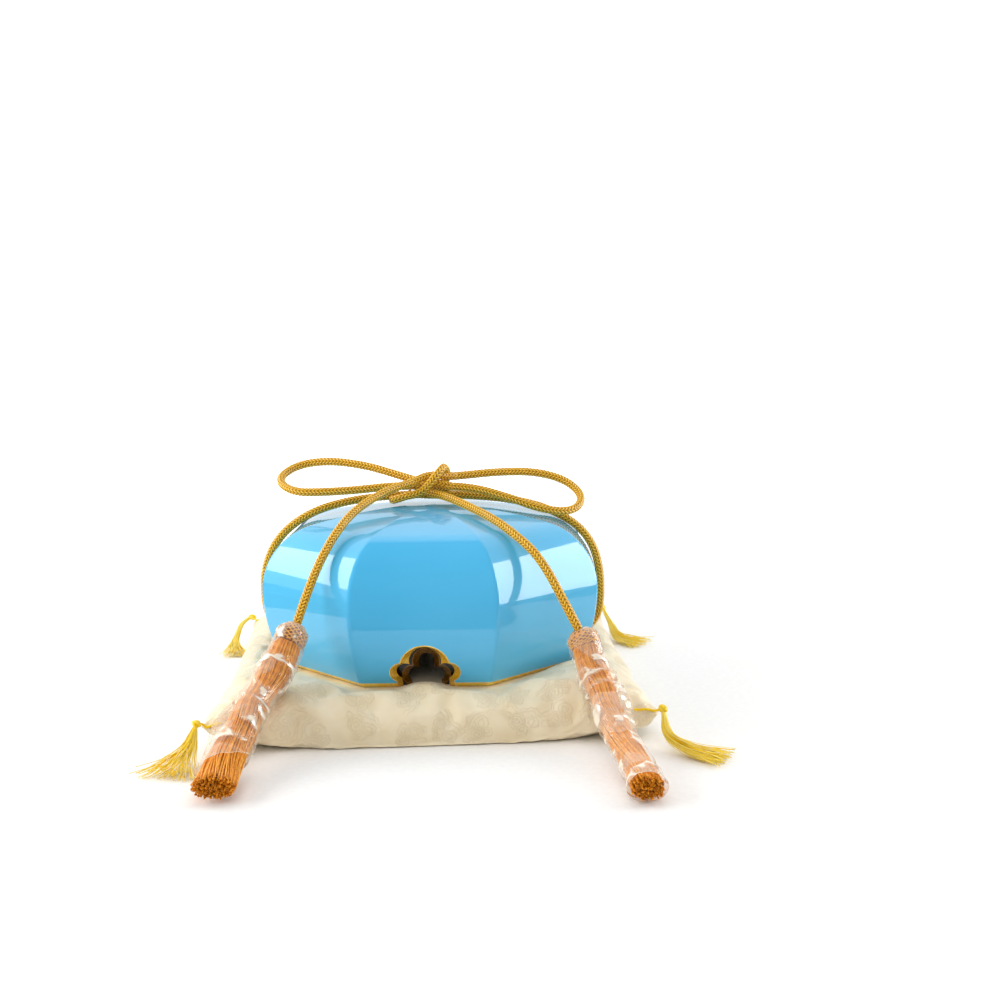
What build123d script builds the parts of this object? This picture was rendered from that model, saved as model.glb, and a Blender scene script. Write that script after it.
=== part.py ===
from build123d import *
from math import asin, atan2, cos, degrees, pi, radians, sin, sqrt, tan
import os

# Keepsake box: an eight-sided lacquered box with a vaulted lid that covers it down to the foot,
# tied with a silk cord whose two ends carry long tassels, on a padded silk cushion.
# Millimetres. The origin is on the table, under the middle of the box. The front is at -Y.

# Lid
faces = 8
belly_width = 236.0
belly_rise = 55.3
lid_height = 109.3
side_curve = 118.0
crown_curve = 358.0
lid_wall = 4.5
ridge_round = 4.5
rim_band_height = 3.5
rim_band_bevel = 2.4

# Base, inside the lid
lid_play = 1.6
base_height = 75.3
base_wall = 4.5
base_corner_round = 3.0
base_rim_height = 1.5
floor_rise = 27.3
floor_board = 4.0
floor_play = 0.2
ledge = 1.0

# Notches in the rim: a round top lobe on a neck, two side lobes and a straight slot below them
lid_notch_top_rise = 16.3
lid_notch_top_radius = 17.1
lid_notch_side_offset = 15.8
lid_notch_side_rise = 12.6
lid_notch_side_radius = 7.9
lid_notch_slot_width = 38.6
lid_notch_neck_width = 32.6
lid_mouth_top_rise = 20.1
lid_mouth_top_radius = 8.8
lid_mouth_side_offset = 12.3
lid_mouth_side_rise = 10.1
lid_mouth_side_radius = 5.9
lid_mouth_slot_width = 31.0
lid_mouth_neck_width = 16.6
base_notch_top_rise = 16.1
base_notch_top_radius = 9.5
base_notch_side_offset = 9.5
base_notch_side_rise = 6.9
base_notch_side_radius = 7.0
base_notch_slot_width = 27.0
base_notch_neck_width = 18.0
base_mouth_top_rise = 15.4
base_mouth_top_radius = 5.3
base_mouth_side_offset = 7.6
base_mouth_side_rise = 6.1
base_mouth_side_radius = 4.8
base_mouth_slot_width = 20.0
base_mouth_neck_width = 10.2
frame_lip = 0.7

# Cushion
cushion_turn = 4.2
cushion_x = -4.3
cushion_y = 0.5
cushion_side = 296.0
cushion_seam_height = 20.0
cushion_height = 33.0
cushion_seam_corner = 7.0
cushion_seam_draw = 5.0
cushion_foot_side = 272.0
cushion_foot_corner = 58.0
cushion_foot_bulge = 1.5
cushion_low_side = 287.0
cushion_low_height = 7.0
cushion_low_corner = 34.0
cushion_low_draw = 0.8
cushion_high_side = 278.0
cushion_high_height = 29.0
cushion_high_corner = 40.0
cushion_high_draw = 1.0
cushion_crown_side = 236.0
cushion_crown_corner = 60.0
cushion_crown_bulge = 1.0
seat_depth = 4.6
seat_margin = 0.5
seat_play = 0.3
cloth = 1.2
filling_play = 0.2

# Cord and tassels
cord_thickness = 6.0
cord_play = 0.3
knot_width = 25.0
knot_depth = 21.0
knot_height = 22.0
knot_round = 9.0
sleeve_play = 0.35
sleeve_film = 0.6
corner_knot_radius = 3.4
corner_knot_lift = 2.0
corner_play = 0.3

# Heights and half widths that follow
seat_height = cushion_height - seat_depth
foot = seat_height + seat_play
belly = foot + belly_rise
crown = foot + lid_height
crown_rise = lid_height - belly_rise
lid_half = belly_width / 2
band_top = foot + rim_band_height
sector = 360 / faces


def lid_half_at(height):
    """Half width of the lid's lower side at a height below its belly."""
    return lid_half - side_curve + sqrt(side_curve**2 - (belly - height) ** 2)


rim_half = lid_half_at(foot)
rim_inside = lid_half - side_curve + sqrt((side_curve - lid_wall) ** 2 - belly_rise**2)
base_half = rim_inside - lid_play
floor_height = foot + floor_rise
base_top = foot + base_height

# Each notch as circles (across, up, radius) and slots (half width, top), seen square to its face
lid_notch = (
    [
        (0, lid_notch_top_rise, lid_notch_top_radius),
        (-lid_notch_side_offset, lid_notch_side_rise, lid_notch_side_radius),
        (lid_notch_side_offset, lid_notch_side_rise, lid_notch_side_radius),
    ],
    [(lid_notch_slot_width / 2, lid_notch_side_rise), (lid_notch_neck_width / 2, lid_notch_top_rise)],
)
lid_mouth = (
    [
        (0, lid_mouth_top_rise, lid_mouth_top_radius),
        (-lid_mouth_side_offset, lid_mouth_side_rise, lid_mouth_side_radius),
        (lid_mouth_side_offset, lid_mouth_side_rise, lid_mouth_side_radius),
    ],
    [(lid_mouth_slot_width / 2, lid_mouth_side_rise), (lid_mouth_neck_width / 2, lid_mouth_top_rise)],
)
base_notch = (
    [
        (0, base_notch_top_rise, base_notch_top_radius),
        (-base_notch_side_offset, base_notch_side_rise, base_notch_side_radius),
        (base_notch_side_offset, base_notch_side_rise, base_notch_side_radius),
    ],
    [(base_notch_slot_width / 2, base_notch_side_rise), (base_notch_neck_width / 2, base_notch_top_rise)],
)
base_mouth = (
    [
        (0, base_mouth_top_rise, base_mouth_top_radius),
        (-base_mouth_side_offset, base_mouth_side_rise, base_mouth_side_radius),
        (base_mouth_side_offset, base_mouth_side_rise, base_mouth_side_radius),
    ],
    [(base_mouth_slot_width / 2, base_mouth_side_rise), (base_mouth_neck_width / 2, base_mouth_top_rise)],
)
notch_sides = {"front": -90, "right": 0, "back": 90, "left": 180}

os.makedirs("parts", exist_ok=True)


def octagon(half, mode=Mode.ADD):
    """A regular outline with flats, the first one square to +X, in the sketch that is open."""
    RegularPolygon(half, faces, major_radius=False, rotation=sector / 2, mode=mode)


def vault(half, side, rise, top_curve, drop):
    """Eight cylindrical faces that lean in below the belly and close over the top."""
    shoulder = (2 * rise * top_curve - rise**2 - half**2) / (2 * (top_curve - half))
    lean = degrees(asin(drop / side))
    join = degrees(atan2(top_curve - rise, half - shoulder))
    low = belly - drop
    reach = 1.2 * half
    with BuildPart() as wedge:
        with BuildSketch(Plane.XZ):
            with BuildLine():
                lower = CenterArc((half - side, belly), side, -lean, lean)
                CenterArc((half - shoulder, belly), shoulder, 0, join)
                upper = CenterArc((0, belly + rise - top_curve), top_curve, join, 90 - join)
                Polyline(upper @ 1, (0, low), lower @ 0)
            make_face()
        extrude(amount=reach, both=True)
        with BuildSketch(Plane.XY.offset(low)):
            spread = reach * tan(radians(sector / 2))
            with BuildLine():
                Polyline((0, 0), (reach, -spread), (reach, spread), close=True)
            make_face()
        extrude(amount=drop + rise + lid_wall, mode=Mode.INTERSECT)
    with BuildPart() as body:
        with PolarLocations(0, faces):
            add(wedge.part)
    return body.part


def lid_notch_plane(angle):
    """The chord of the lid's curved side, from the rim to the top of the notch."""
    span = lid_notch_top_rise + lid_notch_top_radius
    tilt = asin(belly_rise / side_curve) - asin(span / (2 * side_curve))
    out_x = cos(radians(angle))
    out_y = sin(radians(angle))
    return Plane(
        origin=(rim_half * out_x, rim_half * out_y, foot),
        x_dir=(-out_y, out_x, 0),
        z_dir=(out_x * cos(tilt), out_y * cos(tilt), -sin(tilt)),
    )


def base_notch_plane(angle):
    """The base's upright outer face, with its origin at the foot."""
    out_x = cos(radians(angle))
    out_y = sin(radians(angle))
    return Plane(
        origin=(base_half * out_x, base_half * out_y, foot),
        x_dir=(-out_y, out_x, 0),
        z_dir=(out_x, out_y, 0),
    )


def notch_block(plane, outline, inward, outward, inset=0.0):
    """A straight block with the notch's outline, through the wall on both sides of a plane."""
    lobes, slots = outline
    below = inward + outward
    with BuildPart() as block:
        with BuildSketch(plane.offset(-inward)):
            for across, up, radius in lobes:
                with Locations((across, up)):
                    Circle(radius - inset)
            for half, top in slots:
                with Locations((0, (top - below) / 2)):
                    Rectangle(2 * (half - inset), top + below)
        extrude(amount=inward + outward)
    return block.part


def notch_bevel(plane, wide, narrow, depth, inset):
    """The funnel between the wide outline on a plane and the narrow one at a depth behind it."""
    below = 2 * depth
    with BuildPart() as funnel:
        for outer, inner in zip(wide[0], narrow[0]):
            with BuildSketch(plane):
                with Locations((outer[0], outer[1])):
                    Circle(outer[2] - inset)
            with BuildSketch(plane.offset(-depth)):
                with Locations((inner[0], inner[1])):
                    Circle(inner[2])
            loft()
        for (half, top), (mouth_half, mouth_top) in zip(wide[1], narrow[1]):
            with BuildSketch(plane):
                with Locations((0, (top - below) / 2)):
                    Rectangle(2 * (half - inset), top + below)
            with BuildSketch(plane.offset(-depth)):
                with Locations((0, (mouth_top - below) / 2)):
                    Rectangle(2 * mouth_half, mouth_top + below)
            loft()
    return funnel.part


def save(piece, name):
    """Label a finished piece and write its file."""
    piece.part.label = name
    export_step(piece.part, f"parts/{name}.step")


# Lid: the whole wall first, then what is lacquered, the rim band and the notch frames
with BuildPart() as lid_cavity:
    add(vault(lid_half - lid_wall, side_curve - lid_wall, crown_rise - lid_wall, crown_curve - lid_wall,
              belly_rise + rim_band_bevel))

with BuildPart() as lid_form:
    add(vault(lid_half, side_curve, crown_rise, crown_curve, belly_rise))
    fillet(lid_form.edges().filter_by(lambda edge: edge.bounding_box().size.Z > lid_wall), ridge_round)
    add(lid_cavity.part, mode=Mode.SUBTRACT)

with BuildPart() as rim_form:
    with BuildSketch(Plane.XY.offset(foot)):
        octagon(rim_half - rim_band_bevel)
    with BuildSketch(Plane.XY.offset(band_top)):
        octagon(lid_half_at(band_top))
    loft()
    fillet(rim_form.edges().filter_by(lambda edge: edge.bounding_box().size.Z > rim_band_height / 2), ridge_round)
    add(lid_cavity.part, mode=Mode.SUBTRACT)

with BuildPart() as lid_notches:
    for angle in notch_sides.values():
        add(notch_block(lid_notch_plane(angle), lid_notch, 3 * lid_wall, 2 * lid_wall))

with BuildPart() as lid_shell:
    add(lid_form.part)
    with BuildSketch(Plane.XY.offset(foot)):
        Rectangle(2 * belly_width, 2 * belly_width)
    extrude(amount=rim_band_height, mode=Mode.SUBTRACT)
    add(lid_notches.part, mode=Mode.SUBTRACT)
save(lid_shell, "lid_shell")

with BuildPart() as lid_rim_band:
    add(rim_form.part)
    add(lid_notches.part, mode=Mode.SUBTRACT)
save(lid_rim_band, "lid_rim_band")

with BuildPart() as lid_wall_all:
    add(lid_form.part)
    with BuildSketch(Plane.XY.offset(foot)):
        Rectangle(2 * belly_width, 2 * belly_width)
    extrude(amount=rim_band_height, mode=Mode.SUBTRACT)
    add(rim_form.part)

for side, angle in notch_sides.items():
    with BuildPart() as lid_notch_frame:
        add(notch_block(lid_notch_plane(angle), lid_notch, 3 * lid_wall, 2 * lid_wall))
        add(lid_wall_all.part, mode=Mode.INTERSECT)
        add(notch_bevel(lid_notch_plane(angle), lid_notch, lid_mouth, lid_wall, frame_lip), mode=Mode.SUBTRACT)
        add(notch_block(lid_notch_plane(angle), lid_notch, 0, 2 * lid_wall, frame_lip), mode=Mode.SUBTRACT)
        add(notch_block(lid_notch_plane(angle).offset(-lid_wall), lid_mouth, 2 * lid_wall, 0), mode=Mode.SUBTRACT)
    save(lid_notch_frame, f"lid_notch_frame_{side}")

# Base: an upright eight-sided wall with a ledge that carries the floor board
with BuildPart() as base_form:
    with BuildSketch(Plane.XY.offset(foot)):
        octagon(base_half)
    extrude(amount=base_height)
    fillet(base_form.edges().filter_by(Axis.Z), base_corner_round)
    with BuildSketch(Plane.XY.offset(foot)):
        octagon(base_half - base_wall - ledge)
    extrude(amount=floor_rise, mode=Mode.SUBTRACT)
    with BuildSketch(Plane.XY.offset(floor_height)):
        octagon(base_half - base_wall)
    extrude(amount=base_height - floor_rise, mode=Mode.SUBTRACT)

with BuildPart() as base_shell:
    add(base_form.part)
    with BuildSketch(Plane.XY.offset(base_top - base_rim_height)):
        octagon(base_half + base_wall)
    extrude(amount=base_rim_height, mode=Mode.SUBTRACT)
    for angle in notch_sides.values():
        add(notch_block(base_notch_plane(angle), base_notch, 3 * base_wall, base_wall), mode=Mode.SUBTRACT)
save(base_shell, "base_shell")

with BuildPart() as base_rim_band:
    add(base_form.part)
    with BuildSketch(Plane.XY.offset(foot)):
        octagon(base_half + base_wall)
    extrude(amount=base_height - base_rim_height, mode=Mode.SUBTRACT)
save(base_rim_band, "base_rim_band")

for side, angle in notch_sides.items():
    with BuildPart() as base_notch_frame:
        add(notch_block(base_notch_plane(angle), base_notch, 3 * base_wall, base_wall))
        add(base_form.part, mode=Mode.INTERSECT)
        add(notch_bevel(base_notch_plane(angle), base_notch, base_mouth, base_wall, frame_lip), mode=Mode.SUBTRACT)
        add(notch_block(base_notch_plane(angle).offset(-base_wall), base_mouth, 2 * base_wall, 0), mode=Mode.SUBTRACT)
    save(base_notch_frame, f"base_notch_frame_{side}")

with BuildPart() as base_floor:
    with BuildSketch(Plane.XY.offset(floor_height)):
        octagon(base_half - base_wall - floor_play)
    extrude(amount=floor_board)
save(base_floor, "base_floor")


# Cushion: rounded squares, drawn in along the seam, with an eight-sided seat pressed into the top
def cushion_plane(height):
    """A level plane turned with the cushion, over the cushion's own middle."""
    turn = radians(cushion_turn)
    return Plane(origin=(cushion_x, cushion_y, height), x_dir=(cos(turn), sin(turn), 0), z_dir=(0, 0, 1))


def padded_square(half, corner, draw):
    """A square whose corners are round and whose sides bow in by draw."""
    straight = half - corner
    middle = straight + corner * sqrt(0.5)
    with BuildSketch() as outline:
        with BuildLine():
            ThreePointArc((half, -straight), (half - draw, 0), (half, straight))
            ThreePointArc((half, straight), (middle, middle), (straight, half))
            ThreePointArc((straight, half), (0, half - draw), (-straight, half))
            ThreePointArc((-straight, half), (-middle, middle), (-half, straight))
            ThreePointArc((-half, straight), (draw - half, 0), (-half, -straight))
            ThreePointArc((-half, -straight), (-middle, -middle), (-straight, -half))
            ThreePointArc((-straight, -half), (0, draw - half), (straight, -half))
            ThreePointArc((straight, -half), (middle, -middle), (half, -straight))
        make_face()
    return outline.sketch


def padded_form(sections, inset):
    """A solid through level sections (height, side, corner, draw), each smaller by the inset."""
    outlines = []
    for height, side, corner, draw in sections:
        outlines.append((height, padded_square(side / 2 - inset, corner - inset, draw)))
    with BuildPart() as form:
        for height, outline in outlines:
            with BuildSketch(cushion_plane(height)):
                add(outline)
        loft()
    return form.part


def cushion_lower(inset):
    """The cushion below its seam, drawn in all over by an inset."""
    sections = [
        (inset, cushion_foot_side, cushion_foot_corner, -cushion_foot_bulge),
        (cushion_low_height + inset / 2, cushion_low_side, cushion_low_corner, cushion_low_draw),
        (cushion_seam_height, cushion_side, cushion_seam_corner, cushion_seam_draw),
    ]
    return padded_form(sections, inset)


def cushion_upper(inset):
    """The cushion above its seam, with the groove that the box stands in."""
    sections = [
        (cushion_seam_height, cushion_side, cushion_seam_corner, cushion_seam_draw),
        (cushion_high_height - inset / 2, cushion_high_side, cushion_high_corner, cushion_high_draw),
        (cushion_height - inset, cushion_crown_side, cushion_crown_corner, -cushion_crown_bulge),
    ]
    with BuildPart() as form:
        add(padded_form(sections, inset))
        with BuildSketch(Plane.XY.offset(seat_height - inset)):
            octagon(lid_half_at(cushion_height) + seat_margin + inset)
            octagon(base_half - base_wall - ledge - seat_margin - inset, Mode.SUBTRACT)
        extrude(amount=seat_depth + inset, mode=Mode.SUBTRACT)
    return form.part


with BuildPart() as cushion_bottom_panel:
    add(cushion_lower(0))
    add(cushion_lower(cloth), mode=Mode.SUBTRACT)
save(cushion_bottom_panel, "cushion_bottom_panel")

with BuildPart() as cushion_top_panel:
    add(cushion_upper(0))
    add(cushion_upper(cloth), mode=Mode.SUBTRACT)
save(cushion_top_panel, "cushion_top_panel")

with BuildPart() as cushion_filling:
    add(cushion_lower(cloth + filling_play))
    add(cushion_upper(cloth + filling_play))
save(cushion_filling, "cushion_filling")


# Cord: each free stretch is a plain tube, with every bend as wide as its runs allow
def bend_radii(points):
    """The radius at each corner of a route."""
    runs = [Vector(*end) - Vector(*start) for start, end in zip(points, points[1:])]
    radii = []
    for before, after in zip(runs, runs[1:]):
        shorter = min(before.length, after.length)
        radii.append(0.45 * shorter / tan(radians(before.get_angle(after) / 2)))
    return radii


def cord_tube(name, points):
    """A round cord along a route."""
    radii = bend_radii(points)
    with BuildPart() as tube:
        with BuildLine() as route:
            FilletPolyline(*points, radius=radii)
        with BuildSketch(Plane(origin=points[0], z_dir=Vector(*points[1]) - Vector(*points[0]))):
            Circle(cord_thickness / 2)
        sweep(path=route.wire())
    length = route.wire().length
    expected = length * pi * cord_thickness**2 / 4
    print(name, "length", round(length, 1), "volume ratio", round(tube.part.volume / expected, 4))
    print("  radii", [round(radius, 1) for radius in radii])
    save(tube, name)


left_drop = [
    (-11, 3.5, 144), (-36, 3, 143), (-62, 1.5, 140), (-86, 0.5, 133.5), (-106, 0, 121.5), (-118.5, 0, 106.5),
    (-125, 0, 88), (-125.5, 0, 69), (-123.5, 0, 56.5), (-118, 0, 46.5), (-109.5, 0, 40.5), (-98.7, 0, 38.4),
]
right_drop = [
    (11, 4.5, 143.5), (37, 5.5, 142), (63, 4.5, 138.5), (86.5, 2, 132), (106.2, 0, 120.7), (117.5, 0, 105.8),
    (122.2, 0, 88), (122.9, 0, 68.5), (121.2, 0, 54.7), (116, 0, 46), (108, 0, 40.2), (98.7, 0, 38.4),
]
under_floor = [
    (-98.4, 0, 38.3), (-88, 0, 36.3), (-68, 1.2, 36.3), (-26, 2.6, 36.3), (26, 2.6, 36.3), (68, 1.2, 36.3),
    (88, 0, 36.3), (98.4, 0, 38.3),
]
left_loop = [
    (-11, 5, 158.5), (-27, 11, 155.5), (-50, 21, 163.5), (-77.5, 27, 167), (-103, 28, 164), (-115, 7, 155.5),
    (-99.5, -15, 149), (-74.5, -15, 149), (-51.5, -9, 149.5), (-30.5, -3, 151), (-11, -1, 151),
]
right_loop = [
    (11, 5, 156.5), (22, 11, 156.5), (49.5, 19, 158), (76.5, 24, 157), (99, 23, 150.5), (111.5, 6, 140),
    (103, -13, 132), (81, -18.5, 134.5), (54, -13, 144), (28, -6.5, 150.5), (11, -3, 150.5),
]
left_end = [
    (-10, -8, 155), (-19, -17, 154), (-34, -33, 150), (-50.5, -58, 141.5), (-61, -80, 129), (-69.5, -95, 113.5),
    (-77, -107, 94.5), (-83, -117, 75.5),
]
right_end = [
    (6, -9.5, 145), (16.5, -22, 143.5), (32, -42, 139.5), (48, -64.5, 134.5), (61.5, -81.5, 127),
    (73.5, -92.5, 117.8), (83, -101, 105), (91.5, -108, 89), (102, -113, 69),
]
cord_tube("cord_left_drop", left_drop)
cord_tube("cord_right_drop", right_drop)
cord_tube("cord_under_floor", under_floor)
cord_tube("cord_left_loop", left_loop)
cord_tube("cord_right_loop", right_loop)
cord_tube("cord_left_end", left_end)
cord_tube("cord_right_end", right_end)

with BuildPart() as cord_knot:
    with BuildSketch(Plane((0, -1, crown + cord_thickness / 2))):
        Rectangle(knot_width, knot_depth)
    extrude(amount=knot_height)
    fillet(cord_knot.edges(), knot_round)
save(cord_knot, "cord_knot")


# Tassels: a netted head, a skirt of twisted ends, and a clear film sleeve around the skirt
def tassel_form(stations, lead, tail, grow=0.0):
    """Ellipses (x, y, z, half width, half height) square to the line that their centres follow."""
    centres = [Vector(x, y, z) for x, y, z, wide, high in stations]
    headings = [after - before for before, after in zip(centres, centres[2:])]
    with BuildPart() as form:
        for index, along in enumerate([lead, *headings, tail]):
            station = stations[index]
            across = along.cross(Vector(0, 0, 1))
            with BuildSketch(Plane(origin=centres[index], x_dir=across, z_dir=along)):
                Ellipse(station[3] + grow, station[4] + grow)
        loft(ruled=True)
    return form.part


left_head = [(-83, -117, 75.5, 4.6, 4.5), (-84.3, -119, 72.3, 8.6, 8.5), (-87, -123, 65.7, 10, 9.9)]
left_skirt = [
    (-87, -123, 65.7, 9, 8.9), (-91, -129, 57, 10.5, 10.4), (-95.4, -137, 48.6, 11.6, 11), (-101.4, -152, 38.8, 9.6, 9.2),
    (-106.6, -163, 31.7, 10.6, 10), (-110.3, -184, 21.2, 11.5, 10), (-114, -210, 13.2, 13, 8.8), (-113.5, -241, 9.6, 14.5, 8.2),
]
right_head = [(102, -113, 69, 4.6, 4.5), (103.3, -113.8, 65.9, 8.6, 8.5), (106, -116, 59.1, 10, 9.9)]
right_skirt = [
    (106, -116, 59.1, 9, 8.9), (108.2, -121.5, 51.2, 10, 9.6), (111.3, -131, 43.5, 10.6, 10), (116.4, -145, 34.5, 9.6, 9),
    (119, -160, 26.4, 10.4, 9.6), (123.5, -178, 19.4, 11, 9.6), (129, -200, 13.4, 12, 9.4), (133.3, -228, 11.6, 13, 9),
    (134.8, -248, 9.8, 14, 8.4),
]
tassels = {"left": (left_end, left_head, left_skirt), "right": (right_end, right_head, right_skirt)}
for side, (cord, head, skirt) in tassels.items():
    cord_lead = Vector(*cord[-1]) - Vector(*cord[-2])
    skirt_lead = Vector(*skirt[1][:3]) - Vector(*head[1][:3])
    skirt_tail = Vector(*skirt[-1][:3]) - Vector(*skirt[-2][:3])
    with BuildPart() as tassel_head:
        add(tassel_form(head, cord_lead, skirt_lead))
    save(tassel_head, f"tassel_head_{side}")
    with BuildPart() as tassel_skirt:
        add(tassel_form(skirt, skirt_lead, skirt_tail))
    save(tassel_skirt, f"tassel_skirt_{side}")
    wrapped = skirt[1:-1]
    wrap_lead = Vector(*skirt[2][:3]) - Vector(*skirt[0][:3])
    wrap_tail = Vector(*skirt[-1][:3]) - Vector(*skirt[-3][:3])
    with BuildPart() as tassel_sleeve:
        add(tassel_form(wrapped, wrap_lead, wrap_tail, sleeve_play + sleeve_film))
        add(tassel_form(wrapped, wrap_lead, wrap_tail, sleeve_play), mode=Mode.SUBTRACT)
    save(tassel_sleeve, f"tassel_sleeve_{side}")

# Corner tassels of the cushion: a small knot at each corner and a fringe that lies on the table
diagonal = (cushion_side / 2 - cushion_seam_corner) * sqrt(2) + cushion_seam_corner + corner_knot_radius + corner_play
fringe_sizes = [(1.4, 1.4), (2.2, 1.8), (4.6, 2.4), (8.5, 1.9)]
fringe_steps = {
    "fl": [(-0.4, -1.6, -1.5), (-2.6, -11, -12), (-6, -24, -17), (-10, -43, -19.6)],
    "fr": [(0.2, -1.6, -1.5), (1.7, -12, -12), (13.5, -28, -17), (36, -40, -19.6)],
    "br": [(1.2, -0.6, -1.8), (6.5, -14, -11), (12.5, -34, -17.5), (31, -49, -19.6)],
    "bl": [(-2, 0, -0.8), (-8.5, -3, -3), (-13, -18, -13), (-7.5, -52, -19.4)],
}
for index, corner in enumerate(["br", "bl", "fl", "fr"]):
    angle = (index + 1 / 2) * 90
    heading = radians(angle + cushion_turn)
    centre = Vector(
        cushion_x + diagonal * cos(heading),
        cushion_y + diagonal * sin(heading),
        cushion_seam_height + corner_knot_lift,
    )
    with BuildPart(Plane(origin=centre, z_dir=(0, 0, 1))) as corner_knot:
        Sphere(corner_knot_radius)
    save(corner_knot, f"corner_knot_{corner}")
    stations = []
    for step, size in zip(fringe_steps[corner], fringe_sizes):
        stations.append((centre.X + step[0], centre.Y + step[1], centre.Z + step[2], size[0], size[1]))
    fringe_lead = Vector(*stations[1][:3]) - Vector(*stations[0][:3])
    fringe_tail = Vector(*stations[-1][:3]) - Vector(*stations[-2][:3])
    with BuildPart() as corner_fringe:
        add(tassel_form(stations, fringe_lead, fringe_tail))
    save(corner_fringe, f"corner_fringe_{corner}")
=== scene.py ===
import math
from functools import partial

import bmesh
import bpy
import numpy as np
from mathutils import Matrix, Vector, noise
from mathutils.bvhtree import BVHTree


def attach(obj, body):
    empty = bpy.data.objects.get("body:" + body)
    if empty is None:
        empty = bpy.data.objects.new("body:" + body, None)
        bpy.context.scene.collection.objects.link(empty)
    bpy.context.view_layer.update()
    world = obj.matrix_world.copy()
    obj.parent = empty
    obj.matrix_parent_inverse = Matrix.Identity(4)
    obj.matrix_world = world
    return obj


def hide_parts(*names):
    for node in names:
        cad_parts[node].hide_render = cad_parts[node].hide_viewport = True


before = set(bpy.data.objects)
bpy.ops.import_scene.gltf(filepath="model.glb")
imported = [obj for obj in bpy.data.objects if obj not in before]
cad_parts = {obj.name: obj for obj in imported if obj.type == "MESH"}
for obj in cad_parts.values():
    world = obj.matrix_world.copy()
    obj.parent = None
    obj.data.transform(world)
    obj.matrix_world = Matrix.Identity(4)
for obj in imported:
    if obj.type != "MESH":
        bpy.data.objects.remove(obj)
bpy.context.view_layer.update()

MM = 0.001


# Camera: the photograph's viewing angle, from in front, a little to the right and above
CAMERA_PLACE = Vector((0.06604, -0.99226, 0.28335))
# Angles in radians: to the right, down, and rolled to the right; the lens in millimetres on a 36 mm sensor
CAMERA_TURN = -0.0165
CAMERA_DOWN = 0.1441
CAMERA_ROLL = -0.0154
CAMERA_LENS = 49.36
SENSOR_WIDTH = 36.0


def add_camera():
    data = bpy.data.cameras.new("camera")
    data.lens = CAMERA_LENS
    data.sensor_width = SENSOR_WIDTH
    data.clip_start = 0.02
    camera = bpy.data.objects.new("camera", data)
    bpy.context.scene.collection.objects.link(camera)
    forward = Vector((
        math.sin(CAMERA_TURN) * math.cos(CAMERA_DOWN),
        math.cos(CAMERA_TURN) * math.cos(CAMERA_DOWN),
        -math.sin(CAMERA_DOWN),
    ))
    level = Vector((math.cos(CAMERA_TURN), -math.sin(CAMERA_TURN), 0.0))
    above = level.cross(forward)
    right = level * math.cos(CAMERA_ROLL) + above * math.sin(CAMERA_ROLL)
    up = above * math.cos(CAMERA_ROLL) - level * math.sin(CAMERA_ROLL)
    turn = Matrix((right, up, -forward)).transposed().to_4x4()
    camera.matrix_world = Matrix.Translation(CAMERA_PLACE) @ turn
    bpy.context.scene.camera = camera


# Materials
SMOOTH = {"interpolation_type": "SMOOTHSTEP"}
LID_MIDDLE = (0.0, 0.0, 78 * MM)


def linear(code):
    """A linear colour from an sRGB hex value."""
    shown = [int(code[i:i + 2], 16) / 255 for i in (1, 3, 5)]
    return [c / 12.92 if c <= 0.04045 else ((c + 0.055) / 1.055) ** 2.4 for c in shown] + [1.0]


def scale_of(size):
    """A texture's scale in metres' space, from the real length in millimetres of its waves or grains."""
    return 1 / (size * MM)


def add_node(tree, kind, inputs=(), stops=(), **settings):
    """One shader node with its settings. Inputs are in order or by name, and each is a number, a vector, an sRGB hex
    value, or the node or socket that it is linked from; a ramp's stops are (place, sRGB hex)."""
    node = tree.nodes.new("ShaderNode" + kind)
    for key, value in settings.items():
        setattr(node, key, value)
    for index, (place, code) in enumerate(stops):
        stop = node.color_ramp.elements[index] if index < 2 else node.color_ramp.elements.new(place)
        stop.position = place
        stop.color = linear(code)
    for key, value in inputs.items() if isinstance(inputs, dict) else enumerate(inputs):
        if isinstance(value, bpy.types.Node):
            value = value.outputs[0]
        if isinstance(value, bpy.types.NodeSocket):
            tree.links.new(value, node.inputs[key])
        else:
            node.inputs[key].default_value = linear(value) if isinstance(value, str) else value
    return node


def new_material(name):
    """A material without nodes, and the function that adds one to it."""
    material = bpy.data.materials.new(name)
    material.use_nodes = True
    material.node_tree.nodes.clear()
    return material, partial(add_node, material.node_tree)


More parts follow.
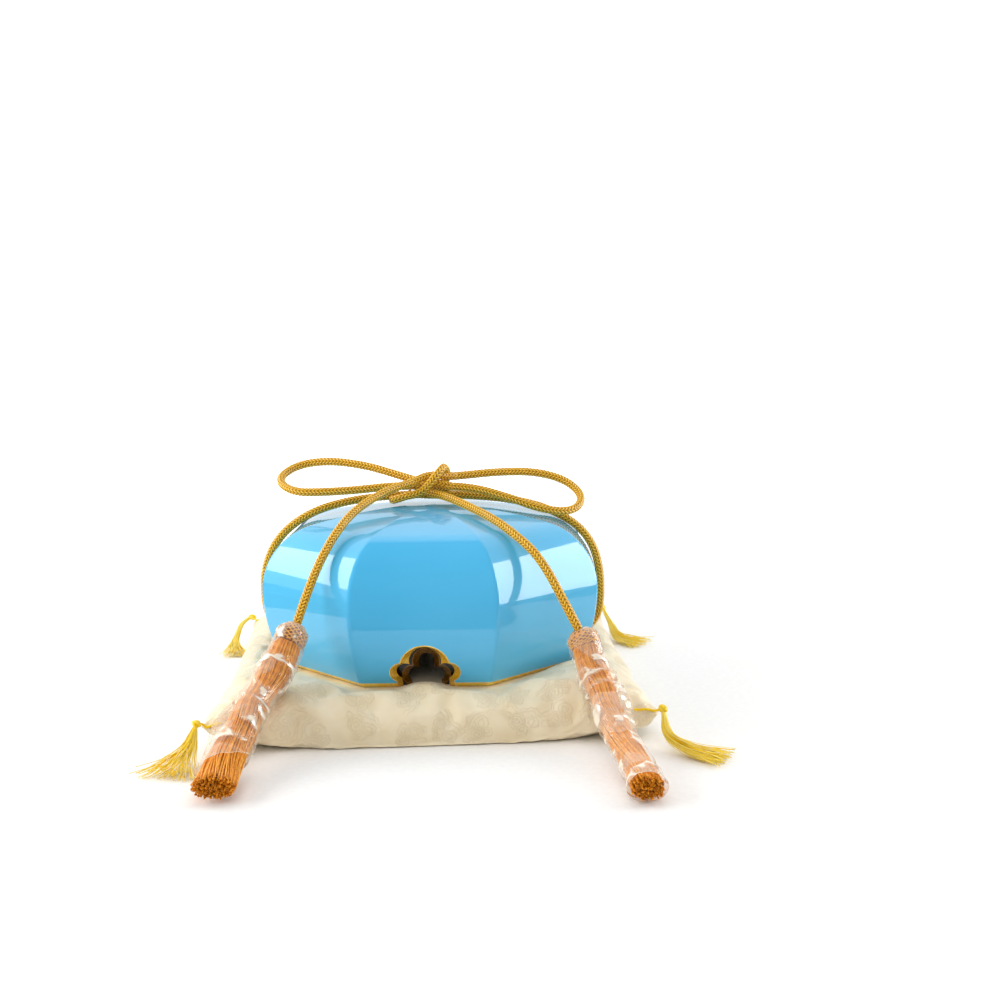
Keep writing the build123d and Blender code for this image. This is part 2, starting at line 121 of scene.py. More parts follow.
def lacquer_material():
    """Lacquer on wood, sprayed sky blue and polished to a mirror; brown-black lacquer inside the lid.
    The eye gets a deep even colour under a clear coat, hardly any orange peel, and sharp reflections."""
    material, add = new_material("blue_lacquer")
    place = add("TexCoord")
    from_middle = add("VectorMath", [place.outputs["Object"], LID_MIDDLE], operation="SUBTRACT")
    facing = add("VectorMath", [from_middle, place.outputs["Normal"]], operation="DOT_PRODUCT")
    outside = add("Math", [facing.outputs["Value"], 0.0], operation="GREATER_THAN")
    # Orange peel: waves about 9 mm long and a few micrometres deep
    peel = add("TexNoise", {"Vector": place.outputs["Object"], "Scale": scale_of(9.09), "Detail": 1.0})
    # Colour drifts a little over the whole lid, as sprayed coats do
    drift = add("TexNoise", {"Vector": place.outputs["Object"], "Scale": scale_of(111), "Detail": 2.0})
    blue = add("ValToRGB", [drift], [(0.35, "#4CB6E6"), (0.65, "#54BCEB")])
    colour = add("Mix", {0: outside, 6: "#120D0A", 7: blue}, data_type="RGBA")
    # Polishing haze: swirls about 2.4 mm wide in the gloss
    haze = add("TexNoise", {"Vector": place.outputs["Object"], "Scale": scale_of(2.38), "Detail": 3.0})
    rough = add("MapRange", [haze, 0.3, 0.7, 0.20, 0.26], **SMOOTH)
    bump = add("Bump", {"Height": peel, "Strength": 0.012, "Distance": MM})
    shader = add("BsdfPrincipled", {
        "Base Color": colour.outputs[2], "Roughness": rough, "Normal": bump, "IOR": 1.5, "Specular IOR Level": 0.1,
        "Coat Weight": 1.0, "Coat Roughness": 0.015, "Coat IOR": 1.52, "Coat Normal": bump})
    add("OutputMaterial", [shader])
    return material


def gold_material(name, dark, mid, light, metal=0.55):
    """Gold lacquer: gold powder under a clear coat, rubbed smooth. The eye gets a deep metal gleam, brown where
    it turns from the light, with faint brush marks about 6 mm long and a grain of powder about 0.4 mm."""
    material, add = new_material(name)
    place = add("TexCoord").outputs["Object"]
    powder = add("TexNoise", {"Vector": place, "Scale": scale_of(0.417), "Detail": 2.0})
    brushed = add("TexNoise", {"Vector": place, "Scale": scale_of(6.25), "Detail": 3.0, "Roughness": 0.6})
    fine = add("Math", [powder, 0.35], operation="MULTIPLY")
    mixed = add("Math", [brushed, 0.65, fine], operation="MULTIPLY_ADD")
    colour = add("ValToRGB", [mixed], [(0.32, dark), (0.68, light), (0.5, mid)])
    rough = add("MapRange", [powder, 0.3, 0.7, 0.2, 0.34], **SMOOTH)
    bump = add("Bump", {"Height": brushed, "Strength": 0.06, "Distance": MM})
    shader = add("BsdfPrincipled", {"Base Color": colour, "Roughness": rough, "Normal": bump, "Metallic": metal,
                                    "Coat Weight": 0.5, "Coat Roughness": 0.06})
    add("OutputMaterial", [shader])
    return material


def black_lacquer_material():
    """Black lacquer brushed on wood, semi-gloss. The eye gets brown-black with soft brush waves about 3 mm wide, and
    a slow change of gloss about 22 mm across."""
    material, add = new_material("black_lacquer")
    place = add("TexCoord").outputs["Object"]
    waves = add("TexNoise", {"Vector": place, "Scale": scale_of(3.33), "Detail": 2.0})
    dust = add("TexNoise", {"Vector": place, "Scale": scale_of(22.2), "Detail": 4.0})
    colour = add("ValToRGB", [dust], [(0.3, "#0B0807"), (0.75, "#1D1511")])
    rough = add("MapRange", [dust, 0.3, 0.7, 0.18, 0.32], **SMOOTH)
    bump = add("Bump", {"Height": waves, "Strength": 0.05, "Distance": MM})
    shader = add("BsdfPrincipled", {"Base Color": colour, "Roughness": rough, "Normal": bump, "IOR": 1.5,
                                    "Coat Weight": 0.5, "Coat Roughness": 0.12})
    add("OutputMaterial", [shader])
    return material


def silk_material(name, stops, roughness, grain, tint):
    """Silk thread, twisted or braided. The mesh carries a tone, 0 in the gaps and 1 on the crests, and the colour goes
    with it from painted shade in the gaps to painted light on the crests. Fibres about 0.1 mm thick are drawn as a
    grain of about a millimetre so that they show. The eye gets a soft sheen and deep gaps."""
    material, add = new_material(name)
    tone = add("Attribute", attribute_name="tone").outputs["Fac"]
    place = add("TexCoord").outputs["Object"]
    fibres = add("TexNoise", {"Vector": place, "Scale": scale_of(grain), "Detail": 3.0})
    uneven = add("Math", [fibres, 0.5], operation="SUBTRACT")
    shade = add("Math", [uneven, tint, tone], operation="MULTIPLY_ADD")
    colour = add("ValToRGB", [shade], stops)
    bump = add("Bump", {"Height": fibres, "Strength": 0.35, "Distance": 0.3 * MM})
    shader = add("BsdfPrincipled", {
        "Base Color": colour, "Normal": bump, "Roughness": roughness, "Specular IOR Level": 0.35,
        "Sheen Weight": 0.06, "Sheen Roughness": 0.4})
    add("OutputMaterial", [shader])
    return material


def film_material():
    """Clear polypropylene film, crinkled round the tassels to keep them tidy. The eye gets the silk through a faint
    milky veil, with painted highlights as white streaks on the creases, which the mesh carries as a tone, and glints
    from the lamps on crinkles about 11 mm long."""
    material, add = new_material("clear_film")
    # The mesh's tone: painted highlights on the creases, folds and cut edge, and a little milkiness where the film lies
    # double
    crease = add("Attribute", attribute_name="tone").outputs["Fac"]
    place = add("TexCoord").outputs["Object"]
    folds = add("TexNoise", {"Vector": place, "Scale": scale_of(11.1), "Detail": 1.0, "Distortion": 0.6})
    bump = add("Bump", {"Height": folds, "Strength": 0.4, "Distance": 1.6 * MM})
    glint = add("LayerWeight", {"Normal": bump, "Blend": 0.22})
    # Painted highlights: white streaks where the tone is high
    painted_streak = add("MapRange", [crease, 0.3, 0.8, 0.0, 0.72], **SMOOTH)
    # Where the film lies double it is milkier, with a clear border
    double = add("MapRange", [crease, 0.04, 0.16, 0.0, 0.11], **SMOOTH)
    veil = add("MapRange", [glint.outputs["Fresnel"], 0.0, 1.0, 0.05, 0.16], **SMOOTH)
    # The painted highlights and the milky veil together
    white = add("Math", [painted_streak, veil], operation="ADD")
    milky = add("Math", [double, white], operation="ADD")
    cover = add("Math", [milky, 0.85], operation="MINIMUM")
    rough = add("MapRange", [folds, 0.3, 0.7, 0.05, 0.12], **SMOOTH)
    shine = add("BsdfPrincipled", {"Base Color": "#FFF1DC", "Roughness": rough, "Normal": bump,
                                   "Specular IOR Level": 1.0, "IOR": 1.7})
    clear = add("BsdfTransparent")
    add("OutputMaterial", [add("MixShader", [cover, clear, shine])])
    return material


# Damask figures: pitch, each cloud's rings as (centre, radii), and the trailing lines, in millimetres of cloth
FIGURE_PITCH = 27.0
CLOUD_RINGS = [
    ((-5.5, -0.5), (4.6, 2.0)), ((3.6, 0.8), (5.8, 3.6, 1.6)), ((-1.4, 6.2), (3.9, 1.6)), ((10.0, -2.0), (2.6,)),
]
TRAIL_LEVELS = (-7.0, -9.4)
TRAIL_WAVE = 15.0
# Threads 0.25 mm apart, drawn about 0.8 mm apart so that they show
THREAD_PITCH = 0.806
# Blender's wave texture has 20 radians to a unit at scale 1
WEAVE_SCALE = math.tau / 20 / THREAD_PITCH


def damask_material():
    """Silk damask for the cushion: cream ground, with cloud scrolls and trailing lines woven in satin, tone on tone,
    a common old pattern. The mesh carries the cloth's own coordinates in millimetres, so figures follow the cloth.
    The eye gets figures about 26 mm wide, a little darker and glossier, raised by a few tenths of a millimetre."""
    material, add = new_material("silk_damask")
    cloth = add("Attribute", attribute_name="cloth_mm").outputs["Vector"]
    # Threads waver a little, so figures aren't drawn with a compass
    waver = add("TexNoise", {"Vector": cloth, "Scale": 1 / 4.55, "Detail": 1.0}, noise_dimensions="2D")
    shift = add("VectorMath", {0: waver.outputs["Color"], "Scale": 3.4}, operation="SCALE")
    moved = add("VectorMath", [cloth, shift], operation="ADD")
    cells = add("TexVoronoi", {"Vector": moved, "Scale": 1 / FIGURE_PITCH, "Randomness": 0.55},
                voronoi_dimensions="2D")
    local = add("VectorMath", [moved, cells.outputs["Position"]], operation="SUBTRACT")
    lot = add("SeparateColor", [cells.outputs["Color"]])
    angle = add("Math", [lot, math.tau], operation="MULTIPLY")
    turned = add("VectorRotate", {"Vector": local, "Angle": angle}, rotation_type="Z_AXIS")
    outline, body = 0.0, 0.0
    for (across, up), radii in CLOUD_RINGS:
        offset = add("VectorMath", [turned, (across, up, 0)], operation="SUBTRACT")
        flat = add("VectorMath", [offset, (1, 1, 0)], operation="MULTIPLY")
        away = add("VectorMath", [flat], operation="LENGTH").outputs["Value"]
        for radius in radii:
            gap = add("Math", [add("Math", [away, radius], operation="SUBTRACT")], operation="ABSOLUTE")
            line = add("MapRange", [gap, 0.2, 0.7, 1.0, 0.0], **SMOOTH)
            outline = add("Math", [outline, line], operation="MAXIMUM")
        disc = add("MapRange", [away, radii[0] - 0.5, radii[0] + 0.2, 1.0, 0.0], **SMOOTH)
        body = add("Math", [body, disc], operation="MAXIMUM")
    # Trailing lines under each cloud
    axes = add("SeparateXYZ", [turned])
    phase = add("Math", [axes.outputs["X"], math.tau / TRAIL_WAVE], operation="MULTIPLY")
    wave = add("Math", [add("Math", [phase], operation="SINE"), 1.3], operation="MULTIPLY")
    sideways = add("Math", [axes.outputs["X"]], operation="ABSOLUTE")
    within = add("MapRange", [sideways, 10.0, 14.0, 1.0, 0.0], **SMOOTH)
    for level in TRAIL_LEVELS:
        above = add("Math", [axes.outputs["Y"], level], operation="SUBTRACT")
        gap = add("Math", [add("Math", [above, wave], operation="SUBTRACT")], operation="ABSOLUTE")
        line = add("MapRange", [gap, 0.25, 0.75, 1.0, 0.0], **SMOOTH)
        outline = add("Math", [outline, add("Math", [line, within], operation="MULTIPLY")], operation="MAXIMUM")
    ground = add("TexNoise", {"Vector": cloth, "Scale": 1 / 20, "Detail": 2.0}, noise_dimensions="2D")
    cream = add("ValToRGB", [ground], [(0.3, "#EDDDB9"), (0.7, "#F5E8CA")])
    satin = add("Math", [body, 0.18], operation="MULTIPLY")
    figured = add("Mix", {0: satin, 6: cream, 7: "#E2D2AC"}, data_type="RGBA")
    drawn = add("Math", [outline, 0.15], operation="MULTIPLY")
    colour = add("Mix", {0: drawn, 6: figured.outputs[2], 7: "#CDB282"}, data_type="RGBA")
    warp, weft = (add("TexWave", {"Vector": cloth, "Scale": WEAVE_SCALE}, bands_direction=way).outputs["Fac"]
                  for way in "XY")
    weave = add("Math", [add("Math", [warp, weft], operation="ADD"), 0.05, outline], operation="MULTIPLY_ADD")
    relief = add("Math", [body, 0.35, weave], operation="MULTIPLY_ADD")
    bump = add("Bump", {"Height": relief, "Strength": 0.6, "Distance": 0.4 * MM})
    rough = add("MapRange", [body, 0.0, 1.0, 0.55, 0.4], **SMOOTH)
    shader = add("BsdfPrincipled", {
        "Base Color": colour.outputs[2], "Roughness": rough, "Normal": bump, "Specular IOR Level": 0.4,
        "Sheen Weight": 0.3, "Sheen Roughness": 0.35})
    add("OutputMaterial", [shader])
    return material


blue_lacquer = lacquer_material()
gold_lacquer = gold_material("gold_lacquer", "#E6A816", "#FFC832", "#FFE47A")
# The lid's rim band: the same gold lacquer painted lighter and less metallic, as painted light
painted_light_rim = gold_material("painted_light_rim_lacquer", "#FFC926", "#FFDF4A", "#FFF3A0", metal=0.25)
# The base's notch frames: the same gold lacquer painted dark brown, as painted shade
painted_shade_gold = gold_material("painted_shade_gold_lacquer", "#6E4812", "#97661C", "#BE8A2C")
black_lacquer = black_lacquer_material()
# Braided cord: dark in the gaps and light on the crests, as painted shade and painted light
braided_silk = silk_material("braided_silk", [
    (0.0, "#3A2502"), (1.0, "#FFE884"), (0.28, "#8F5F06"), (0.55, "#DD9F14"), (0.8, "#F4BE2C")], 0.36, 1.11, 0.2)
tassel_silk = silk_material("tassel_silk", [(0.0, "#8E4A02"), (1.0, "#FFC552"), (0.5, "#F09810")], 0.42, 0.909, 0.25)
fringe_silk = silk_material("fringe_silk", [(0.0, "#FFC400"), (1.0, "#FFF090"), (0.5, "#FFDE1A")], 0.45, 0.909, 0.3)
clear_film = film_material()
damask = damask_material()

# Each construction node takes the finish of the first words here that its name holds
FINISHES = [
    ("lid_shell", blue_lacquer), ("base_notch", painted_shade_gold), ("rim_band", painted_light_rim), ("frame", gold_lacquer),
    ("base", black_lacquer), ("cord", braided_silk), ("head", braided_silk), ("skirt", tassel_silk),
    ("sleeve", clear_film), ("corner", fringe_silk), ("cushion", damask),
]
for name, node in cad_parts.items():
    node.data.materials.clear()
    node.data.materials.append(next(finish for words, finish in FINISHES if words in name))


# Mesh building
def length_along(line):
    steps = np.linalg.norm(np.diff(line, axis=0), axis=1)
    return np.concatenate([[0.0], np.cumsum(steps)])


def evenly(line, step):
    """Points a step apart along a line."""
    run = length_along(line)
    at = np.linspace(0, run[-1], max(3, int(round(run[-1] / step)) + 1))
    return np.stack([np.interp(at, run, line[:, k]) for k in range(3)], axis=1)


def smooth_values(knots, values, at):
    """Values between knots, by smooth cubic pieces."""
    slopes = np.gradient(values, knots, axis=0)
    i = np.clip(np.searchsorted(knots, at) - 1, 0, len(knots) - 2)
    h = (knots[i + 1] - knots[i])[:, None]
    t = (at - knots[i])[:, None] / h
    start = (2 * t**3 - 3 * t**2 + 1) * values[i] + (t**3 - 2 * t**2 + t) * h * slopes[i]
    return start + (3 * t**2 - 2 * t**3) * values[i + 1] + (t**3 - t**2) * h * slopes[i + 1]


def between_rows(values, at):
    """Values at fractional rows."""
    low = np.clip(np.floor(at).astype(int), 0, len(values) - 2)
    part = (at - low)[..., None]
    return values[low] * (1 - part) + values[low + 1] * part


def shortened(lines, shares):
    """Each line cut to its share of its length."""
    rows = np.arange(lines.shape[1])
    return np.array([between_rows(line, rows * share) for line, share in zip(lines, shares)])


def unit(vectors):
    return vectors / np.maximum(np.linalg.norm(vectors, axis=-1, keepdims=True), 1e-12)


def beside(centres, x, sides, y, lifts):
    """Points off an axis, by x along its side directions and y along its lift directions."""
    return centres + x[..., None] * sides + y[..., None] * lifts


def full_turn(count):
    """Angles once round, without the last, which is the first again."""
    return np.linspace(0, math.tau, count, endpoint=False)


def even_disc(count):
    """Places spread evenly over a disc, as seeds in a sunflower: how far out, from 0 to 1, and the angle."""
    number = np.arange(count)
    return np.sqrt((number + 0.5) / count), number * math.pi * (3 - math.sqrt(5))


def turning_frames(line):
    """Two directions square to a line at each point, carried along without twist."""
    along = unit(np.gradient(line, axis=0))
    side = np.cross(along[0], (0.0, 0.0, 1.0))
    sides = []
    for direction in along:
        side = side - direction * float(np.dot(side, direction))
        side = side / np.linalg.norm(side)
        sides.append(side)
    sides = np.array(sides)
    return sides, np.cross(along, sides)


def add_piece(name, mesh, material):
    """An object of a mesh, in its material."""
    mesh.materials.append(material)
    piece = bpy.data.objects.new(name, mesh)
    bpy.context.scene.collection.objects.link(piece)
    return piece


def bundle_mesh(name, grid, material, tone=0.7, caps=True):
    """Tubes from a grid of points: bundle, rings, points around, xyz. Tone is a value for each point."""
    index = np.arange(grid[..., 0].size).reshape(grid.shape[:3])
    after = np.roll(index, -1, axis=2)
    quads = np.stack([index[:, :-1], after[:, :-1], after[:, 1:], index[:, 1:]], axis=-1)
    faces = quads.reshape(-1, 4).tolist()
    if caps:
        faces += index[:, 0, ::-1].tolist() + index[:, -1].tolist()
    mesh = bpy.data.meshes.new(name)
    mesh.from_pydata(grid.reshape(-1, 3).tolist(), [], faces)
    mesh.shade_smooth()
    values = np.broadcast_to(tone, grid.shape[:3]).ravel().astype(np.float32)
    mesh.attributes.new("tone", "FLOAT", "POINT").data.foreach_set("value", values)
    return add_piece(name, mesh, material)


def strand_grid(lines, radius, corners, guide):
    """Ring points for many thin strands. Guide is one direction for each ring, about square to them all."""
    along = unit(np.gradient(lines, axis=1))
    first = unit(guide[None] - along * np.sum(guide[None] * along, axis=-1, keepdims=True))
    second = np.cross(along, first)
    turn = full_turn(corners)
    return beside(lines[:, :, None], radius * np.cos(turn), first[:, :, None],
                  radius * np.sin(turn), second[:, :, None])


def join_pieces(name, parts):
    """One piece of several new ones, or of one."""
    whole = parts[0]
    if len(parts) > 1:
        with bpy.context.temp_override(active_object=whole, selected_editable_objects=parts, selected_objects=parts,
                                       object=whole):
            bpy.ops.object.join()
    whole.name = whole.data.name = name
    return whole


def settle(piece, body, slot, *replaced):
    """Puts a piece on the body that it rides on, and hides the construction nodes that it stands for. The slot is not
    used.
    """
    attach(piece, body)
    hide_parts(*replaced)
    return piece


# Cords: the routes in millimetres, as the construction has them
CORD_RADIUS = 3.0 * MM
ROUTES = {
    "left_drop": [
        (-11, 3.5, 144), (-36, 3, 143), (-62, 1.5, 140), (-86, 0.5, 133.5), (-106, 0, 121.5), (-118.5, 0, 106.5),
        (-125, 0, 88), (-125.5, 0, 69), (-123.5, 0, 56.5), (-118, 0, 46.5), (-109.5, 0, 40.5), (-98.7, 0, 38.4)],
    "right_drop": [
        (11, 4.5, 143.5), (37, 5.5, 142), (63, 4.5, 138.5), (86.5, 2, 132), (106.2, 0, 120.7), (117.5, 0, 105.8),
        (122.2, 0, 88), (122.9, 0, 68.5), (121.2, 0, 54.7), (116, 0, 46), (108, 0, 40.2), (98.7, 0, 38.4)],
    "under_floor": [
        (-98.4, 0, 38.3), (-88, 0, 36.3), (-68, 1.2, 36.3), (-26, 2.6, 36.3), (26, 2.6, 36.3), (68, 1.2, 36.3),
        (88, 0, 36.3), (98.4, 0, 38.3)],
    "left_loop": [
        (-8, 3, 153), (-20, 8.5, 156), (-34, 14.5, 159.6), (-50, 21, 163.5), (-77.5, 27, 167), (-103, 28, 164),
        (-115, 7, 155.5), (-99.5, -15, 149), (-74.5, -15, 149), (-51.5, -9, 149.5), (-30.5, -3, 151), (-11, -1, 151)],
    "right_loop": [
        (11, 5, 156.5), (22, 11, 156.5), (49.5, 19, 158), (76.5, 24, 157), (99, 23, 150.5), (111.5, 6, 140),
        (103, -13, 132), (81, -18.5, 134.5), (54, -13, 144), (28, -6.5, 150.5), (11, -3, 150.5)],
    "left_end": [
        (-10, -8, 155), (-19, -17, 154), (-34, -33, 150), (-50.5, -58, 141.5), (-61, -80, 129), (-69.5, -95, 113.5),
        (-77, -107, 94.5), (-83, -117, 75.5)],
    "right_end": [
        (-2, -3, 145.5), (6, -9.5, 145.2), (16.5, -22, 143.5), (32, -42, 139.5), (48, -64.5, 134.5), (61.5, -81.5, 127),
        (73.5, -92.5, 117.8), (83, -101, 105), (91.5, -108, 89), (102, -113, 69)],
}


def route_line(name, points):
    """Points along the smooth open spline whose control points are the route's, read from Blender's own curve."""
    data = bpy.data.curves.new(name, "CURVE")
    data.dimensions = "3D"
    data.resolution_u = 16
    spline = data.splines.new("NURBS")
    spline.points.add(len(points) - 1)
    for point, place in zip(spline.points, points):
        point.co = (place[0] * MM, place[1] * MM, place[2] * MM, 1.0)
    spline.order_u = 3
    spline.use_endpoint_u = True
    holder = bpy.data.objects.new(name, data)
    mesh = bpy.data.meshes.new_from_object(holder)
    line = np.array([tuple(vertex.co) for vertex in mesh.vertices])
    bpy.data.meshes.remove(mesh)
    bpy.data.objects.remove(holder)
    bpy.data.curves.remove(data)
    return line


# The braid: eight columns of slanting stitches, each next column slanting the other way, so that they make V rows
BRAID_COLUMNS = 8
BRAID_AROUND = 40
STITCH_PITCH = 2.6 * MM
STITCH_DEPTH = 0.8 * MM
STITCH_PROUD = 0.08 * MM
RING_STEP = 0.42 * MM
TAPER_REACH = 4 * MM


def braid_grid(line, radius, taper):
    """Ring points of a braided cord along a line, and its tones for painted light on the crests and painted shade in
    the gaps. Taper thins both ends, where they go into a knot.
    """
    line = evenly(line, RING_STEP)
    sides, lifts = turning_frames(line)
    run = length_along(line)[:, None]
    turn = full_turn(BRAID_AROUND)[None]
    column = turn / math.tau * BRAID_COLUMNS + 0.5
    across = column % 1 - 0.5
    lean = np.where(np.floor(column) % 2 == 0, 1.0, -1.0)
    stitch = (run / STITCH_PITCH + lean * across) % 1 - 0.5
    crest = np.clip(1 - (2 * across) ** 2, 0, 1) ** 0.45 * np.clip(1 - (2 * stitch) ** 2, 0, 1) ** 0.9
    wide = radius + STITCH_PROUD - STITCH_DEPTH * (1 - crest)
    wide = wide - taper * np.clip(1 - np.minimum(run, run[-1] - run) / TAPER_REACH, 0, 1)
    grid = beside(line[:, None], wide * np.cos(turn), sides[:, None], wide * np.sin(turn), lifts[:, None])
    return grid, crest


def braided(name, lines, radius, taper=0.0):
    """One mesh of braided cord lengths."""
    parts = []
    for index, line in enumerate(lines):
        grid, crest = braid_grid(line, radius, taper)
        # The crests are passed on as tone: painted light on the crests, painted shade in the gaps
        parts.append(bundle_mesh(f"{name}_{index}", grid[None], braided_silk, crest[None]))
    return join_pieces(name, parts)


cord_lines = {name: route_line(name, points) for name, points in ROUTES.items()}
cords = {}
for name, line in cord_lines.items():
    cord = braided("braided_cord_" + name, [line], CORD_RADIUS)
    settle(cord, "base" if name == "under_floor" else "lid", "silk_cord", "cord_" + name)
    cords[name] = cord

# The bow's knot, strand by strand: the left end passes over the top into the right loop, and one turn of cord
# wraps round it in front, over the top and down behind
KNOT_STRANDS = [
    [(-17, -14.5, 153.9), (-11, -9.5, 155.6), (-4.5, -5.5, 158.4), (3.5, -1.5, 158.8), (11, 3.8, 157),
     (18, 8.6, 156.5)],
    [(-15, 4, 145), (-22, 2.5, 142.2), (-28, -2, 141.2), (-28.5, -7.5, 141.4), (-24, -11.5, 142.8), (-18, -12.4, 145),
     (-11.5, -12.6, 146), (-5.5, -13, 148.6), (-0.6, -12.4, 154), (4.2, -10.2, 159.6), (7.4, -6.4, 163.4),
     (9.2, -0.6, 164.6), (10.8, 5, 161), (10.5, 8.5, 154.5), (7, 7, 148), (2, 3, 145)],
    [(-14, 5.6, 154.8), (-8, 3, 153.2), (-1, 1, 152.6), (5, -1.5, 152.8), (11, -3.4, 151), (17, -4.8, 150.5)],
    [(-17, -2, 151), (-11, -1.5, 151), (-3, 0.5, 149), (5, 4, 147), (12, 6, 147.5)],
    [(-17, 3.5, 143.8), (-11, 3.5, 144), (0, 3.8, 143.2), (11, 4.5, 143.5), (17, 4.8, 143.3)],
]
knot = braided("bow_knot", [route_line("knot", points) for points in KNOT_STRANDS], CORD_RADIUS - 0.02 * MM, 0.3 * MM)
settle(knot, "lid", "silk_cord", "cord_knot")


# Tassels
TASSELS = {
    "left": {
        "head": [(-83, -117, 75.5, 4.6, 4.5), (-84.3, -119, 72.3, 8.6, 8.5), (-87, -123, 65.7, 10, 9.9)],
        "skirt": [
            (-87, -123, 65.7, 9, 8.9), (-91, -129, 57, 10.5, 10.4), (-95.4, -137, 48.6, 11.6, 11),
            (-101.4, -152, 38.8, 9.6, 9.2), (-106.6, -163, 31.7, 10.6, 10), (-110.3, -184, 21.2, 11.5, 10),
            (-114, -210, 13.2, 13, 8.8), (-113.5, -241, 9.6, 14.5, 8.2)],
        "film_end": 0.80, "cut_slant": 0.07, "folds": (0.2, 0.43), "twist": 0.5, "flap": (0.0, 0.56, 6.5)},
    "right": {
        "head": [(102, -113, 69, 4.6, 4.5), (103.3, -113.8, 65.9, 8.6, 8.5), (106, -116, 59.1, 10, 9.9)],
        "skirt": [
            (106, -116, 59.1, 9, 8.9), (108.2, -121.5, 51.2, 10, 9.6), (111.3, -131, 43.5, 10.6, 10),
            (116.4, -145, 34.5, 9.3, 9), (119, -160, 26.2, 9.6, 9.4), (123.5, -178, 19.2, 9.4, 9.4),
            (129, -200, 13.2, 9.2, 9.0), (133.3, -228, 10.6, 9.8, 8.6), (135.2, -248, 9.2, 11, 8.2)],
        "film_end": 0.985, "cut_slant": 0.0, "folds": (0.24, 0.3), "twist": 1.5, "flap": (3.0, 0.4, 5.0)},
}
STRANDS = 320
STRAND_RADIUS = 0.48 * MM
STRAND_STEP = 2.2 * MM
LOOP_RADIUS = 0.6 * MM
LOOP_THREAD = 0.36 * MM
NET_CORDS = 13
NET_RADIUS = 0.36 * MM
NET_TURN = 4.2
NET_END = 0.56
HEAD_CORE = 0.9
CORE_END = 0.6


def tassel_axis(stations, step):
    """Centres, side and lift directions and half widths along a tassel, from stations in millimetres."""
    stations = np.array(stations, float) * MM
    run = length_along(stations[:, :3])
    at = np.linspace(0, run[-1], int(run[-1] / step) + 1)
    values = smooth_values(run, stations, at)
    centres = values[:, :3]
    along = unit(np.gradient(centres, axis=0))
    sides = unit(np.cross(along, np.array([0.0, 0.0, 1.0])))
    lifts = np.cross(sides, along)
    return at / run[-1], centres, sides, lifts, values[:, 3], values[:, 4]


def make_skirt(side, facts, seed):
    """Strands of two-ply silk cord side by side, wandering a little, each ending in a small loop."""
    draw = np.random.default_rng(seed)
    share, centres, sides, lifts, wide, high = tassel_axis([facts["head"][1]] + facts["skirt"][1:], STRAND_STEP)
    out, start = even_disc(STRANDS)
    sway = draw.uniform(-1, 1, (STRANDS, 3))
    phase = draw.uniform(0, math.tau, (STRANDS, 2))
    turn = start[:, None] + facts["twist"] * share[None] ** 1.4
    turn = turn + 0.12 * sway[:, :1] * np.sin(3.2 * math.pi * share[None] + phase[:, :1])
    reach = out[:, None] * (0.93 + 0.05 * sway[:, 1:2] * np.sin(4.4 * math.pi * share[None] + phase[:, 1:]))
    x = np.cos(turn) * reach * np.maximum(wide - STRAND_RADIUS, 0)
    y = np.sin(turn) * reach * np.maximum(high - STRAND_RADIUS, 0)
    lines = beside(centres, x, sides, y, lifts)
    lines[:, :, 2] = np.maximum(lines[:, :, 2], STRAND_RADIUS + 0.2 * MM)
    # Ends are cut to slightly different lengths
    lines = shortened(lines, 1 - 0.035 * draw.uniform(0, 1, STRANDS))
    # Each strand has a tone at random, less for strands further in: painted shade inside the bundle
    tone = draw.uniform(0.35, 0.75, STRANDS)[:, None, None] - 0.25 * (1 - out)[:, None, None]
    # A tone that rises and falls along each strand: painted light and shade of the two-ply twist
    ply = 0.12 * np.sin(np.arange(len(share)) * 2.1)[None, :, None]
    bundle = bundle_mesh(f"silk_strands_{side}", strand_grid(lines, STRAND_RADIUS, 6, lifts), tassel_silk, tone + ply)
    # Loops at the tips
    tips = lines[:, -1:]
    ahead = unit(lines[:, -1] - lines[:, -3])
    across = unit(np.cross(ahead, unit(draw.normal(size=(STRANDS, 3)))))
    normal = np.cross(ahead, across)[:, None]
    around = np.linspace(0, math.tau, 9)
    loop = beside(tips, LOOP_RADIUS * (1 - np.cos(around)), ahead[:, None],
                  LOOP_RADIUS * np.sin(around), across[:, None])
    loop[:, :, 2] = np.maximum(loop[:, :, 2], 0.5 * MM)
    outward = np.cross(unit(np.gradient(loop, axis=1)), normal)
    spin = full_turn(5)
    rings = beside(loop[:, :, None], LOOP_THREAD * np.cos(spin), outward[:, :, None],
                   LOOP_THREAD * np.sin(spin), normal[:, None])
    loops = bundle_mesh(f"strand_loops_{side}", rings, tassel_silk, draw.uniform(0.15, 0.6, STRANDS)[:, None, None])
    return join_pieces(f"tassel_strands_{side}", [bundle, loops])


